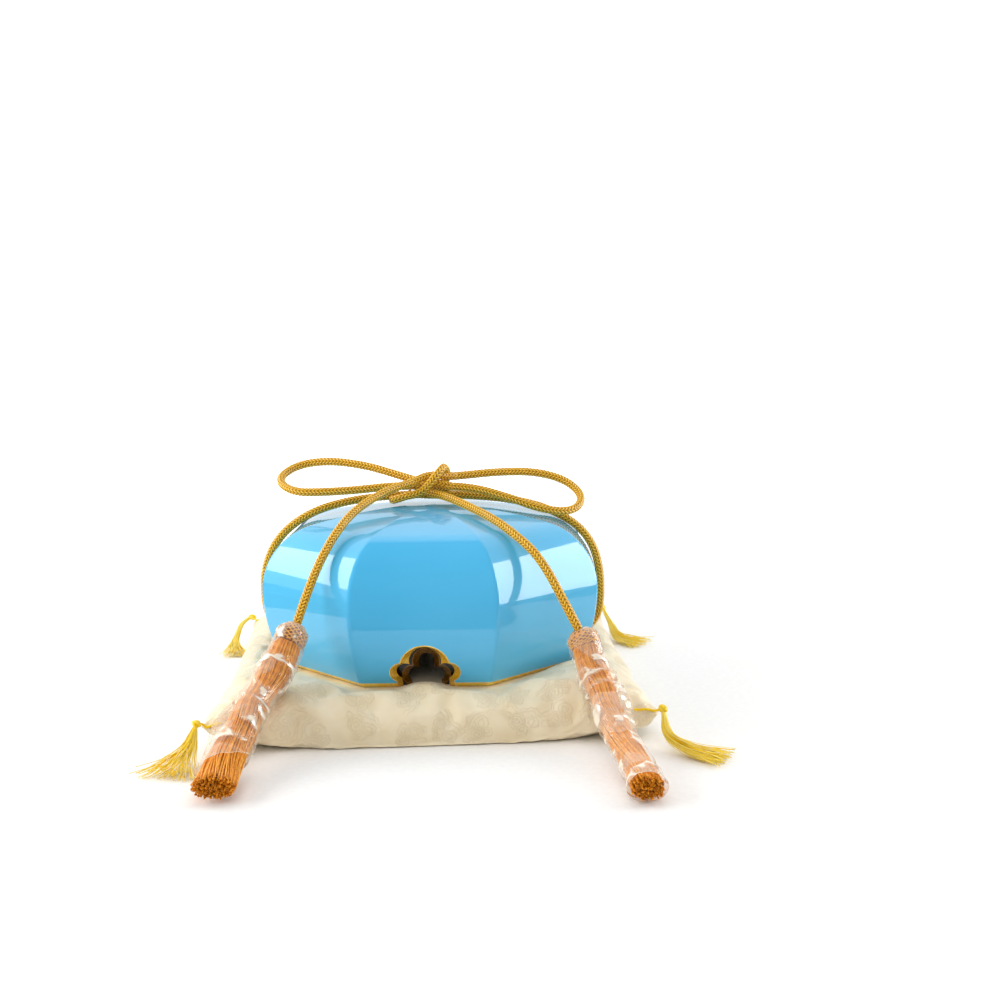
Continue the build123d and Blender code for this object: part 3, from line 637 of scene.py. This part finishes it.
def make_head(side, facts):
    """A silk-covered head under a net of crossing cords, closed at the top round the main cord."""
    stations = facts["head"] + [facts["skirt"][1][:3] + (10.4, 10.2)]
    share, centres, sides, lifts, wide, high = tassel_axis(stations, 0.8 * MM)
    turn = full_turn(48)
    rib = HEAD_CORE * (1 + 0.02 * np.cos(24 * turn))
    core = beside(centres[:, None], wide[:, None] * np.cos(turn) * rib, sides[:, None],
                  high[:, None] * np.sin(turn) * rib, lifts[:, None])
    # The core is drawn at the darkest tone, as painted shade under the net
    body = bundle_mesh(f"head_core_{side}", core[None, share < CORE_END], tassel_silk, -0.1)
    keep = share < NET_END
    share, centres, sides, lifts, wide, high = (v[keep] for v in (share, centres, sides, lifts, wide, high))
    net = []
    for hand in (1, -1):
        for index in range(NET_CORDS):
            angle = math.tau * index / NET_CORDS + hand * NET_TURN * share
            weave = 1.0 + 0.03 * hand * np.sin(angle * NET_CORDS / 2)
            net.append(beside(centres, wide * weave * np.cos(angle), sides, high * weave * np.sin(angle), lifts))
    guide = np.cross(lifts, sides)
    cords_over = bundle_mesh(f"head_net_{side}", strand_grid(np.array(net), NET_RADIUS, 6, guide), tassel_silk, 0.72)
    return join_pieces(f"netted_head_{side}", [body, cords_over])


def facets(points, size, seed):
    """Crumpled film: how far each point is from the crease between two flat facets, about 0 to 0.6."""
    shift = Vector((seed * 3.1, seed * 1.7, seed * 0.9))
    flat = [np.diff(noise.voronoi(Vector(p) / size + shift)[0][:2])[0] for p in points.reshape(-1, 3)]
    return np.array(flat).reshape(points.shape[:-1])


def patches(points, size, seed):
    """A slow on and off over a surface, from 0 to 1."""
    shift = Vector((seed * 2.3, -seed * 1.9, seed * 0.7))
    flat = [noise.noise(Vector(p) / size + shift) for p in points.reshape(-1, 3)]
    return np.clip(0.5 + 2.2 * np.array(flat), 0, 1).reshape(points.shape[:-1])


def hump(distance, width):
    """A smooth hump, 1 in its middle."""
    return np.exp(-(distance / width) ** 2)


FILM_AROUND = 84
FILM_STEP = 1.25 * MM
FILM_GAP = 0.55 * MM
FILM_THICKNESS = 0.1 * MM
# Sizes of the crumpled film's facets and patches, in metres; the rest are shares of the tassel's length
BROAD_FACET, SMALL_FACET = 20 * MM, 9 * MM
LIT_PATCH, HIGHLIGHT_BREAK_PATCH, DOUBLE_PATCH = 14 * MM, 6 * MM, 19 * MM
FOLD_RIDGE, FOLD_HIGHLIGHT, CUT_HIGHLIGHT = 0.012, 0.008, 0.005


def make_film(side, facts, seed):
    """Clear film rolled round the tassel: loose, creased, with folded ridges, a flap and a cut edge. Its tone is
    painted highlight, white on the creases, the folds and the cut edge, and a little milkiness where the film lies
    double."""
    stations = facts["head"] + [(*s[:3], s[3] + 0.2, s[4] + 0.2) for s in facts["skirt"][1:]]
    share, centres, sides, lifts, wide, high = tassel_axis(stations, FILM_STEP)
    turn = full_turn(FILM_AROUND)
    end = facts["film_end"] + facts["cut_slant"] * np.cos(turn - 0.4)
    at = share[:, None] * end
    rows = at * (len(share) - 1)
    centres, sides, lifts = (between_rows(values, rows) for values in (centres, sides, lifts))
    ridges = sum(MM * hump(at - fold - 0.02 * np.sin(turn * 2 + seed), FOLD_RIDGE) for fold in facts["folds"])
    wide, high = (between_rows(half[:, None], rows)[..., 0] + FILM_GAP + ridges for half in (wide, high))
    skin = beside(centres, wide * np.cos(turn), sides, high * np.sin(turn), lifts)
    broad = facets(skin, BROAD_FACET, seed)
    small = facets(skin, SMALL_FACET, seed + 5)
    raised = (0.85 * np.clip(1 - broad / 0.45, 0, 1) + 0.4 * np.clip(1 - small / 0.45, 0, 1) - 0.25) * MM
    # Painted highlights: white wedges along the creases where a patch is lit, and on the folds; film that lies double
    # is a little milkier
    lit = patches(skin, LIT_PATCH, seed)
    highlight_breaks = patches(skin, HIGHLIGHT_BREAK_PATCH, seed + 2)
    wedge = np.clip(lit - 0.45, 0, 1)
    white = np.clip(1.25 - 1.25 * broad / (0.01 + 0.42 * wedge ** 1.3), 0, 1) * (lit > 0.48) * (0.35 + 0.65 * highlight_breaks)
    for fold in facts["folds"]:
        white = np.maximum(white, 0.95 * hump(at - fold - 0.006 * highlight_breaks, FOLD_HIGHLIGHT) * (0.3 + lit).clip(0, 1))
    white = np.maximum(white, 0.22 * np.clip(8 * (patches(skin, DOUBLE_PATCH, seed + 7) - 0.45), 0, 1))
    # Painted highlight along the cut edge
    white = np.clip(white + 0.6 * hump(at - end, CUT_HIGHLIGHT), 0, 1)
    side_way, where, reach = facts["flap"]
    off = np.abs((turn - side_way + math.pi) % math.tau - math.pi)
    raised = raised + reach * MM * hump(off, 0.42) * hump(at - where, 0.13)
    skin = beside(skin, raised * np.cos(turn), sides, raised * np.sin(turn), lifts)
    skin[:, :, 2] = np.maximum(skin[:, :, 2], 0.25 * MM)
    film = bundle_mesh(f"clear_film_{side}", skin[None], clear_film, white[None], caps=False)
    thick = film.modifiers.new("film", "SOLIDIFY")
    thick.thickness = FILM_THICKNESS
    thick.offset = 1.0
    return film


for seed, (side, facts) in enumerate(TASSELS.items()):
    settle(make_skirt(side, facts, 11 + seed), "lid", "tassel_silk", "tassel_skirt_" + side)
    settle(make_head(side, facts), "lid", "silk_cord", "tassel_head_" + side)
    settle(make_film(side, facts, 3 + seed), "lid", "clear_film", "tassel_sleeve_" + side)

# Each length of the cord: its name split into side and kind, and its line; nothing is done with them
for name, cord in cords.items():
    side, kind = name.split("_")
    line = cord_lines[name]


# Cushion: two square panels of damask sewn together, filled and pressed down by the box; sizes in millimetres
CUSHION_CENTRE = np.array([-4.3, 0.5])
CUSHION_TURN = math.radians(4.2)
HALF = 148.0
# How far the sides pull in between the corners, as a share of the half width
DRAW_IN = 0.030
SEAM_HEIGHT = 20.0
SEAM_LOW = 2.0
SEAM_TUCK = 10.0
ROLL_WIDTH = 6.0
CORNER_SHARPNESS = 2.7
TOP_HEIGHT = 33.0
SEAT_HEIGHT = 28.4
SEAT_HALF = 104.9
SAG = 3.4
GATHER = 0.7
FINE_GATHER = 0.8
NOTCH_SWELL = 5.6
FRONT_SWELL = 6.0
# Cells across a panel, and how much closer together they are at the seam
GRID = 116
SEAM_CROWDING = 1.65
SIZE = GRID + 1


def panel_levels():
    """Grid lines across a panel from -1 to 1, closer together near the seam."""
    t = np.linspace(-1, 1, SIZE)
    return np.sign(t) * (1 - (1 - np.abs(t)) ** SEAM_CROWDING)


def swell(depth, width, power, root):
    """How far a panel has risen at a depth inside the seam, from 0 to 1."""
    return (1 - (1 - np.clip(depth / width, 0, 1)) ** power) ** root


def octagon_depth(x, y, half):
    """How far a point is inside an eight-sided outline; negative outside."""
    angles = [k * math.pi / 4 for k in range(8)]
    return half - np.max([x * math.cos(angle) + y * math.sin(angle) for angle in angles], axis=0)


def soft_noise(x, y, size, seed):
    flat = [noise.noise(Vector((a / size + seed, b / size - seed, seed * 0.37))) for a, b in zip(x.ravel(), y.ravel())]
    return np.array(flat).reshape(x.shape)


def cushion_forms():
    """Places on a grid from -1 to 1, and there the points of the top and the bottom panel."""
    line = panel_levels()
    u, v = np.meshgrid(line, line, indexing="ij")
    deep_u = HALF * (1 - np.abs(u))
    deep_v = HALF * (1 - np.abs(v))
    deep = np.minimum(deep_u, deep_v)
    pointed = np.abs(u * v) ** CORNER_SHARPNESS
    half = HALF + (ROLL_WIDTH - SEAM_TUCK * np.exp(-deep / 3.5)) * (1 - pointed)
    # The corners of the seam are turned a little round
    round_off = 1 - 0.42 * np.clip(np.abs(u) + np.abs(v) - 1.955, 0, 1)
    flat = np.stack([half * u * (1 - DRAW_IN * (1 - v**2)) * round_off,
                     half * v * (1 - DRAW_IN * (1 - u**2)) * round_off], axis=-1)
    top = swell(deep_u, 38, 2.5, 0.6) * swell(deep_v, 38, 2.5, 0.6)
    low = swell(deep_u, 17, 2.3, 0.55) * swell(deep_v, 17, 2.3, 0.55)
    low_corner = swell((deep_u + deep_v) / math.sqrt(2), 86, 2.2, 0.6)
    cos, sin = math.cos(CUSHION_TURN), math.sin(CUSHION_TURN)
    x, y = np.moveaxis(flat @ np.array([[cos, sin], [-sin, cos]]) + CUSHION_CENTRE, -1, 0)
    seam = SEAM_LOW + (SEAM_HEIGHT - SEAM_LOW) * pointed + 0.8 * soft_noise(x, y, 60, 4.0)
    z_top = seam + (TOP_HEIGHT - seam) * top
    z_low = seam * (1 - low * low_corner)
    # Broad sags and drag folds outside the box
    sag = SAG * soft_noise(x, y, 52, 1.3) + 1.5 * soft_noise(x, y, 24, 7.7)
    z_top = z_top + sag * np.sqrt(top) * 0.9
    # Gathers that run in from the seam
    near = np.exp(-((deep - 7) / 8) ** 2)
    along_edge = np.where(deep_u < deep_v, v, u) * HALF
    gather = np.sin(along_edge / 7.5 * math.pi + 4 * soft_noise(x, y, 30, 2.2))
    gather = gather * (0.45 + 0.9 * soft_noise(x, y, 38, 9.1))
    z_top = z_top + GATHER * near * gather
    # Finer gathers at the left and right, slanting back
    fine = np.sin((v * HALF + 0.5 * deep_u) / 5.2 * math.pi + 3 * soft_noise(x, y, 24, 5.5))
    fine = fine * np.exp(-((deep_u - 13) / 11) ** 2) * np.clip(0.5 + 1.6 * soft_noise(x, y, 40, 3.3), 0, 1)
    z_top = z_top + FINE_GATHER * fine * (deep_v > 14)
    z_low = z_low - 0.3 * near * gather * (z_low > 2.5)
    return u, v, x, y, z_top, z_low


def press_seat(x, y, z):
    """Keeps the cloth under the lid's rim and the base, with a swell in the notches and round the box."""
    inside = octagon_depth(x, y, SEAT_HALF)
    press = np.clip(1 + (inside + 4) / 20.0, 0, 1)
    press = press * press * (3 - 2 * press)
    notch = np.exp(-(np.abs(x) / 15.0) ** 3) * np.exp(-((np.abs(y) - 113) / 10.5) ** 4)
    notch = np.maximum(notch, np.exp(-(np.abs(y) / 12.0) ** 3) * np.exp(-((np.abs(x) - 109) / 13.0) ** 4) * 0.25)
    seated = SEAT_HEIGHT + NOTCH_SWELL * notch
    pressed = z * (1 - press) + seated * press
    # The cloth swells up past the rim at the front right
    past_rim = (x - y) / math.sqrt(2) - SEAT_HALF
    pressed = pressed + FRONT_SWELL * hump(x + y - 34, 55.0) * hump(past_rim - 9, 7.0) * (y < 0)
    return np.where(inside > -0.6, np.minimum(pressed, seated), pressed)


def cloth_places(points, low_index, at_side):
    """Each point's place on the flat cloth, measured along the threads from the middle; underneath, the cloth goes
    on past the seam."""
    middle = SIZE // 2
    found = []
    for form in (points[:SIZE * SIZE].reshape(SIZE, SIZE, 3), points[low_index]):
        for axis in (0, 1):
            steps = np.linalg.norm(np.diff(form, axis=axis), axis=-1)
            run = np.insert(np.cumsum(steps, axis=axis), 0, 0.0, axis=axis)
            found.append(run - np.take(run, [middle], axis=axis))
    top_u, top_v, low_u, low_v = found
    far = np.arange(SIZE) >= middle
    seam_u, seam_v = top_u + low_u, top_v + low_v
    past_u = np.where(far[:, None], seam_u[-1:], seam_u[:1]) - low_u
    past_v = np.where(far[None], seam_v[:, -1:], seam_v[:, :1]) - low_v
    under_u = np.where(at_side, past_u, low_u)
    under_v = np.where(at_side, low_v, past_v)
    return np.stack([top_u, top_v, 0 * top_u], -1), np.stack([under_u, under_v, 0 * top_u], -1)


def cells_of(index):
    """The four corners of each cell of a grid."""
    return np.stack([index[:-1, :-1], index[1:, :-1], index[1:, 1:], index[:-1, 1:]], -1).reshape(-1, 4)


def make_cushion():
    u, v, x, y, z_top, z_low = cushion_forms()
    edge = np.maximum(np.abs(u), np.abs(v)) > 1 - 1e-9
    count = SIZE * SIZE
    top_index = np.arange(count).reshape(SIZE, SIZE)
    low_index = top_index.copy()
    low_index[~edge] = count + np.arange((~edge).sum())
    top = np.stack([x, y, press_seat(x, y, z_top)], -1).reshape(-1, 3)
    verts = np.concatenate([top, np.stack([x, y, z_low], -1)[~edge]])
    faces = np.stack([cells_of(top_index), cells_of(low_index)[:, [0, 3, 2, 1]]], axis=1)
    mesh = bpy.data.meshes.new("damask_cushion")
    mesh.from_pydata((verts * MM).tolist(), [], faces.reshape(-1, 4).tolist())
    mesh.shade_smooth()
    piece = add_piece("damask_cushion", mesh, damask)
    # What the seam, the box and the table hold still
    held = np.zeros(len(verts))
    held[:count][edge.ravel()] = 0.95
    held[:count][octagon_depth(top[:, 0], top[:, 1], SEAT_HALF) > -2] = 1.0
    held[verts[:, 2] < 0.6] = 1.0
    fill_with_air(piece, held)
    final = np.array([tuple(point.co) for point in mesh.vertices]) / MM
    final[:, 2] = np.maximum(final[:, 2], 0.0)
    final[:count, 2] = press_seat(*final[:count].T)
    mesh.vertices.foreach_set("co", (final * MM).ravel())
    above, under = cloth_places(final, low_index, np.abs(u) > np.abs(v))
    cloth = np.concatenate([above.reshape(-1, 3), under[~edge]]).astype(np.float32)
    mesh.attributes.new("cloth_mm", "FLOAT_VECTOR", "POINT").data.foreach_set("vector", cloth.ravel())
    finer = piece.modifiers.new("finer", "SUBSURF")
    finer.levels = finer.render_levels = 1
    return piece


CLOTH_FRAMES = 20
MOVE_CAP = 5.0 * MM
CLOTH_SETTINGS = {
    "quality": 5, "mass": 0.15, "tension_stiffness": 12, "compression_stiffness": 12, "shear_stiffness": 4,
    "bending_stiffness": 0.4, "shrink_min": -0.035, "use_pressure": True, "uniform_pressure_force": 2.5,
    "vertex_group_mass": "held",
}


def fill_with_air(piece, held):
    """A short cloth simulation: the panels swell under pressure and the spare cloth folds; then it is kept."""
    group = piece.vertex_groups.new(name="held")
    for weight in np.unique(held):
        group.add(np.nonzero(held == weight)[0].tolist(), weight, "REPLACE")
    cloth = piece.modifiers.new("cloth", "CLOTH")
    for key, value in CLOTH_SETTINGS.items():
        setattr(cloth.settings, key, value)
    cloth.settings.effector_weights.gravity = 0.0
    cloth.collision_settings.use_collision = False
    cloth.point_cache.frame_start = 1
    cloth.point_cache.frame_end = CLOTH_FRAMES
    scene = bpy.context.scene
    for frame_number in range(1, CLOTH_FRAMES + 1):
        scene.frame_set(frame_number)
    shown = piece.evaluated_get(bpy.context.evaluated_depsgraph_get())
    before, after = (np.array([tuple(point.co) for point in form.data.vertices]) for form in (piece, shown))
    piece.modifiers.remove(cloth)
    move = after - before
    far = np.linalg.norm(move, axis=1, keepdims=True)
    move = move * np.minimum(1.0, MOVE_CAP / np.maximum(far, 1e-9))
    piece.data.vertices.foreach_set("co", (before + move).ravel())
    scene.frame_set(1)


cushion = make_cushion()
settle(cushion, "cushion", "silk_damask", "cushion_top_panel", "cushion_bottom_panel", "cushion_filling")


# Corner tassels: a knot, a fan of fine threads, and the thread that holds it to the cushion
FRINGES = {
    "fl": {"angle": 225, "steps": [(-0.4, -1.6, -1.5), (-2.4, -11, -11), (-6, -24, -16), (-10, -43, -19.6)],
           "stitch": (-125.8, -161.7, 26), "sizes": [(1.3, 1.2), (5.5, 2.4), (10, 3.0), (17, 2.2)]},
    "fr": {"angle": 315, "steps": [(0.2, -1.6, -1.5), (1.7, -12, -12), (13.5, -28, -17), (36, -40, -19.6)],
           "stitch": (137.7, -141, 26), "sizes": [(1.3, 1.2), (3.2, 2.2), (5.4, 3.0), (11, 2.2)]},
    "br": {"angle": 45, "steps": [(1.2, -0.6, -1.8), (6.5, -14, -11), (12.5, -34, -17.5), (31, -49, -19.6)],
           "stitch": (120, 148, 26), "sizes": [(1.2, 1.2), (2.0, 1.7), (4.8, 2.6), (10.5, 2.0)]},
    "bl": {"angle": 135, "steps": [(-1.6, 0, 0.2), (-6.5, -3, -3), (-10.5, -18, -13), (-5.5, -50, -19.4)],
           "stitch": (-141, 128, 26), "sizes": [(1.1, 1.1), (1.5, 1.3), (2.3, 1.7), (7.5, 1.7)]},
}
# How far the knots' middles are from the cushion's: its rounded corner, the knot's radius and a gap
CORNER_REACH = (HALF - 7) * math.sqrt(2) + 7 + 3.4 + 0.3
KNOT_HEIGHT = SEAM_HEIGHT + 2.0
THREADS = 90
THREAD_RADIUS = 0.21 * MM
THREAD_STEP = 1.6 * MM
KNOT_TURNS = 9
KNOT_THREAD = 0.75 * MM
KNOT_CORE = 1.6 * MM
PLIES = 3
PLY_RADIUS = 0.48 * MM
PLY_OFF = 0.5 * MM
PLY_PITCH = 3.2
PLY_STEP = 0.8


def make_fringe(corner, facts, centre, seed):
    """A fan of fine silk threads that wander, a quarter of them astray, cut to uneven lengths."""
    draw = np.random.default_rng(seed)
    stations = [(*(centre + step), *sizes) for step, sizes in zip(np.array(facts["steps"]), facts["sizes"])]
    share, centres, sides, lifts, wide, high = tassel_axis(stations, THREAD_STEP)
    out, turn = even_disc(THREADS)
    stray = np.where(draw.uniform(0, 1, THREADS) < 0.25, 1.7, 1.0)[:, None]
    wander = draw.uniform(-1, 1, (THREADS, 2))
    phase = draw.uniform(0, math.tau, (THREADS, 2))
    fan = 1 + 0.45 * share[None] ** 2 * stray
    sway = MM * wander[:, None] * np.sin(np.array([2.6, 2.2]) * math.pi * share[:, None] + phase[:, None])
    sway = sway * share[:, None] ** 0.7
    x = (np.cos(turn) * out)[:, None] * wide * fan + 1.7 * sway[..., 0]
    y = (np.sin(turn) * out)[:, None] * high * fan + 1.3 * sway[..., 1]
    lines = beside(centres, x, sides, y, lifts)
    lines = shortened(lines, 1 - 0.14 * draw.uniform(0, 1, THREADS) ** 1.5)
    lines[:, :, 2] = np.maximum(lines[:, :, 2], THREAD_RADIUS + 0.1 * MM)
    tone = draw.uniform(0.3, 0.95, THREADS)[:, None, None]
    return bundle_mesh(f"silk_fringe_{corner}", strand_grid(lines, THREAD_RADIUS, 5, lifts), fringe_silk, tone)


def holding_line(centre, stitch):
    """The line of the thread that lies on the cushion from the knot to where it was sewn in."""
    tree = BVHTree.FromObject(cushion, bpy.context.evaluated_depsgraph_get())
    line = centre + (np.array(stitch) * MM - centre) * np.linspace(0, 1, 26)[:, None]
    for index in range(3, len(line)):
        spot, normal, _, _ = tree.find_nearest(Vector(line[index]))
        above = 0.6 if index < len(line) - 2 else -0.6
        line[index] = spot + normal * above * MM
    for _ in range(3):
        line[1:-1] = (line[:-2] + 2 * line[1:-1] + line[2:]) / 4
    return evenly(line, PLY_STEP * MM)


def make_corner_knot(corner, facts, centre, seed):
    """A small round knot of thread: turns of thread wound in three directions, and the thread to the cushion."""
    draw = np.random.default_rng(seed)
    centre = centre * MM
    t = np.linspace(0, math.tau, 40)
    wound = []
    for index in range(KNOT_TURNS):
        tilt = math.pi * index / KNOT_TURNS + draw.uniform(-0.15, 0.15)
        first = unit(np.array([math.cos(tilt), math.sin(tilt), draw.uniform(-0.5, 0.5)]))
        second = unit(np.cross(first, np.array([math.sin(tilt), -math.cos(tilt), 0.9])))
        radius = draw.uniform(1.2, 2.5) * MM
        turn = beside(centre, radius * np.cos(t), first, radius * np.sin(t), second)
        wound.append(strand_grid(turn[None], KNOT_THREAD, 6, unit(turn - centre)))
    tones = draw.uniform(0.3, 0.8, (KNOT_TURNS, 1, 1))
    turns = bundle_mesh(f"knot_turns_{corner}", np.concatenate(wound), fringe_silk, tones)
    mesh = bpy.data.meshes.new(f"knot_core_{corner}")
    ball = bmesh.new()
    bmesh.ops.create_icosphere(ball, subdivisions=3, radius=KNOT_CORE, matrix=Matrix.Translation(Vector(centre)))
    ball.to_mesh(mesh)
    ball.free()
    mesh.shade_smooth()
    core = add_piece(mesh.name, mesh, fringe_silk)
    line = holding_line(centre, facts["stitch"])
    sides, lifts = turning_frames(line)
    spin = np.linspace(0, len(line) * PLY_STEP / PLY_PITCH * math.tau, len(line))
    angles = [spin + math.tau * ply / PLIES for ply in range(PLIES)]
    plies = np.array([beside(line, PLY_OFF * np.cos(a), sides, PLY_OFF * np.sin(a), lifts) for a in angles])
    thread = bundle_mesh(f"corner_thread_{corner}", strand_grid(plies, PLY_RADIUS, 6, lifts), fringe_silk, 0.4)
    return join_pieces(f"corner_knot_thread_{corner}", [turns, core, thread])


for seed, (corner, facts) in enumerate(FRINGES.items()):
    heading = math.radians(facts["angle"]) + CUSHION_TURN
    reach = CORNER_REACH * np.array([math.cos(heading), math.sin(heading)])
    centre = np.append(CUSHION_CENTRE + reach, KNOT_HEIGHT)
    fringe = make_fringe(corner, facts, centre, 40 + seed)
    settle(fringe, "cushion", "fringe_silk", "corner_fringe_" + corner)
    settle(make_corner_knot(corner, facts, centre, 60 + seed), "cushion", "fringe_silk", "corner_knot_" + corner)


# Floor, backdrop and lights
FLOOR_REACH = 3.2
COVE_HEIGHT = 3.0
COVE_RADIUS = 0.4
COVE_START = FLOOR_REACH - COVE_RADIUS
FLOOR_LEVEL = -0.4 * MM


def paper_material(name, glow_near, glow_far):
    """Matt white background paper, with fibres about 4 mm long. It glows a little, more so far away, as an evenly
    lit sweep does in a studio."""
    material, add = new_material(name)
    place = add("TexCoord").outputs["Object"]
    fibres = add("TexNoise", {"Vector": place, "Scale": scale_of(3.85), "Detail": 4.0})
    colour = add("ValToRGB", [fibres], [(0.3, "#F1F0EE"), (0.7, "#F6F5F3")])
    away = add("VectorMath", [place], operation="LENGTH").outputs["Value"]
    glow = add("MapRange", [away, 0.35, 1.2, glow_near, glow_far], **SMOOTH)
    bump = add("Bump", {"Height": fibres, "Strength": 0.05, "Distance": 0.5 * MM})
    shader = add("BsdfPrincipled", {"Base Color": colour, "Emission Strength": glow, "Normal": bump,
                                    "Roughness": 0.9, "Emission Color": "#FFFFFF"})
    add("OutputMaterial", [shader])
    return material


def card_material():
    """Dark matt card, mottled every 11 mm, as used to keep light off a glossy surface."""
    material, add = new_material("studio_card")
    grain = add("TexNoise", {"Vector": add("TexCoord").outputs["Object"], "Scale": scale_of(11.1)})
    colour = add("ValToRGB", [grain], [(0.3, "#4C5054"), (0.7, "#565A5E")])
    add("OutputMaterial", [add("BsdfPrincipled", {"Base Color": colour, "Roughness": 0.9})])
    return material


def hide_from(piece, *rays):
    for ray in rays:
        setattr(piece, "visible_" + ray, False)


def add_sweep(name, profile, material):
    """A round sheet of paper, from its profile of (radius, height)."""
    turn = full_turn(96)
    ring = np.stack([np.cos(turn), np.sin(turn), 0 * turn], axis=-1)
    rings = [ring * radius + (0, 0, height) for radius, height in profile]
    return bundle_mesh(name, np.array(rings)[None], material, caps=False)


def add_studio():
    """A round white floor, and a cove round it that only the camera sees."""
    floor = add_sweep("floor", [(radius, FLOOR_LEVEL) for radius in (COVE_START, 2.0, 1.0, 0.5, 0.1 * MM)],
                      paper_material("floor_paper", 0.0, 0.9))
    cove = [(COVE_START + COVE_RADIUS * math.sin(a), COVE_RADIUS * (1 - math.cos(a)) + FLOOR_LEVEL)
            for a in np.linspace(0, math.pi / 2, 9)]
    wall = add_sweep("backdrop", cove + [(FLOOR_REACH, COVE_HEIGHT)], paper_material("backdrop_paper", 1.0, 1.0))
    hide_from(wall, "diffuse", "glossy", "transmission", "shadow")
    # Dark cards that only mirrors see: the table's lit part ends where they begin
    near, left, right, far = -0.262, -0.33, 0.4, COVE_START
    dark = card_material()
    places = ((-far, -far, far, near), (-far, near, left, far), (right, near, far, far))
    for index, (low_x, low_y, high_x, high_y) in enumerate(places):
        mesh = bpy.data.meshes.new(f"card_{index}")
        corners = [(low_x, low_y, 0), (high_x, low_y, 0), (high_x, high_y, 0), (low_x, high_y, 0)]
        mesh.from_pydata(corners, [], [(0, 1, 2, 3)])
        card = add_piece(mesh.name, mesh, dark)
        hide_from(card, "camera", "diffuse", "transmission", "shadow")


def add_area(name, place, target, size, brightness, *hidden):
    """A softbox. Brightness is what a mirror would show, with white paper at 1."""
    data = bpy.data.lights.new(name, "AREA")
    data.shape = "RECTANGLE"
    data.size, data.size_y = size
    data.energy = brightness * math.pi * size[0] * size[1]
    light = bpy.data.objects.new(name, data)
    bpy.context.scene.collection.objects.link(light)
    light.location = place
    light.rotation_euler = (Vector(target) - Vector(place)).to_track_quat("-Z", "Y").to_euler()
    hide_from(light, "camera", *hidden)


def add_world(dark, bright):
    """The room: a lit white sweep behind the object up to 60 degrees, and a darker studio in front and overhead."""
    world = bpy.data.worlds.new("studio")
    bpy.context.scene.world = world
    world.use_nodes = True
    add = partial(add_node, world.node_tree)
    way = add("SeparateXYZ", [add("TexCoord").outputs["Generated"]])
    behind = add("MapRange", [way.outputs["Y"], -0.12, 0.06, 0.0, bright - dark], **SMOOTH)
    below_top = add("MapRange", [way.outputs["Z"], 0.83, 0.89, 1.0, 0.0], **SMOOTH)
    strength = add("Math", [behind, below_top, dark], operation="MULTIPLY_ADD")
    background = world.node_tree.nodes["Background"]
    background.inputs["Color"].default_value = linear("#FFFFFF")
    world.node_tree.links.new(strength.outputs[0], background.inputs["Strength"])


add_camera()
add_studio()
add_world(dark=0.12, bright=0.95)
add_area("left_softbox", (-0.822, 0.107, 0.51), (0.0, -0.339, 0.366), (0.455, 0.513), 4.4)
add_area("right_softbox", (0.709, 0.119, 0.362), (0.0, 0.047, 0.383), (0.55, 0.71), 6.4, "diffuse")
add_area("right_glow", (0.75, 0.05, 0.4), (0.0, 0.05, 0.1), (0.55, 0.71), 1.7, "glossy")
add_area("front_fill", (0.1, -1.5, 1.2), (0, 0, 0.08), (1.2, 1.2), 2.0, "glossy")
add_area("left_fill", (-1.6, -0.65, 0.8), (0, 0, 0.08), (1.2, 1.2), 3.4, "glossy")
add_area("top_fill", (0.0, 0.1, 1.5), (0, 0, 0.08), (1.5, 1.5), 1.2, "glossy")
bpy.context.scene.view_settings.view_transform = "Standard"
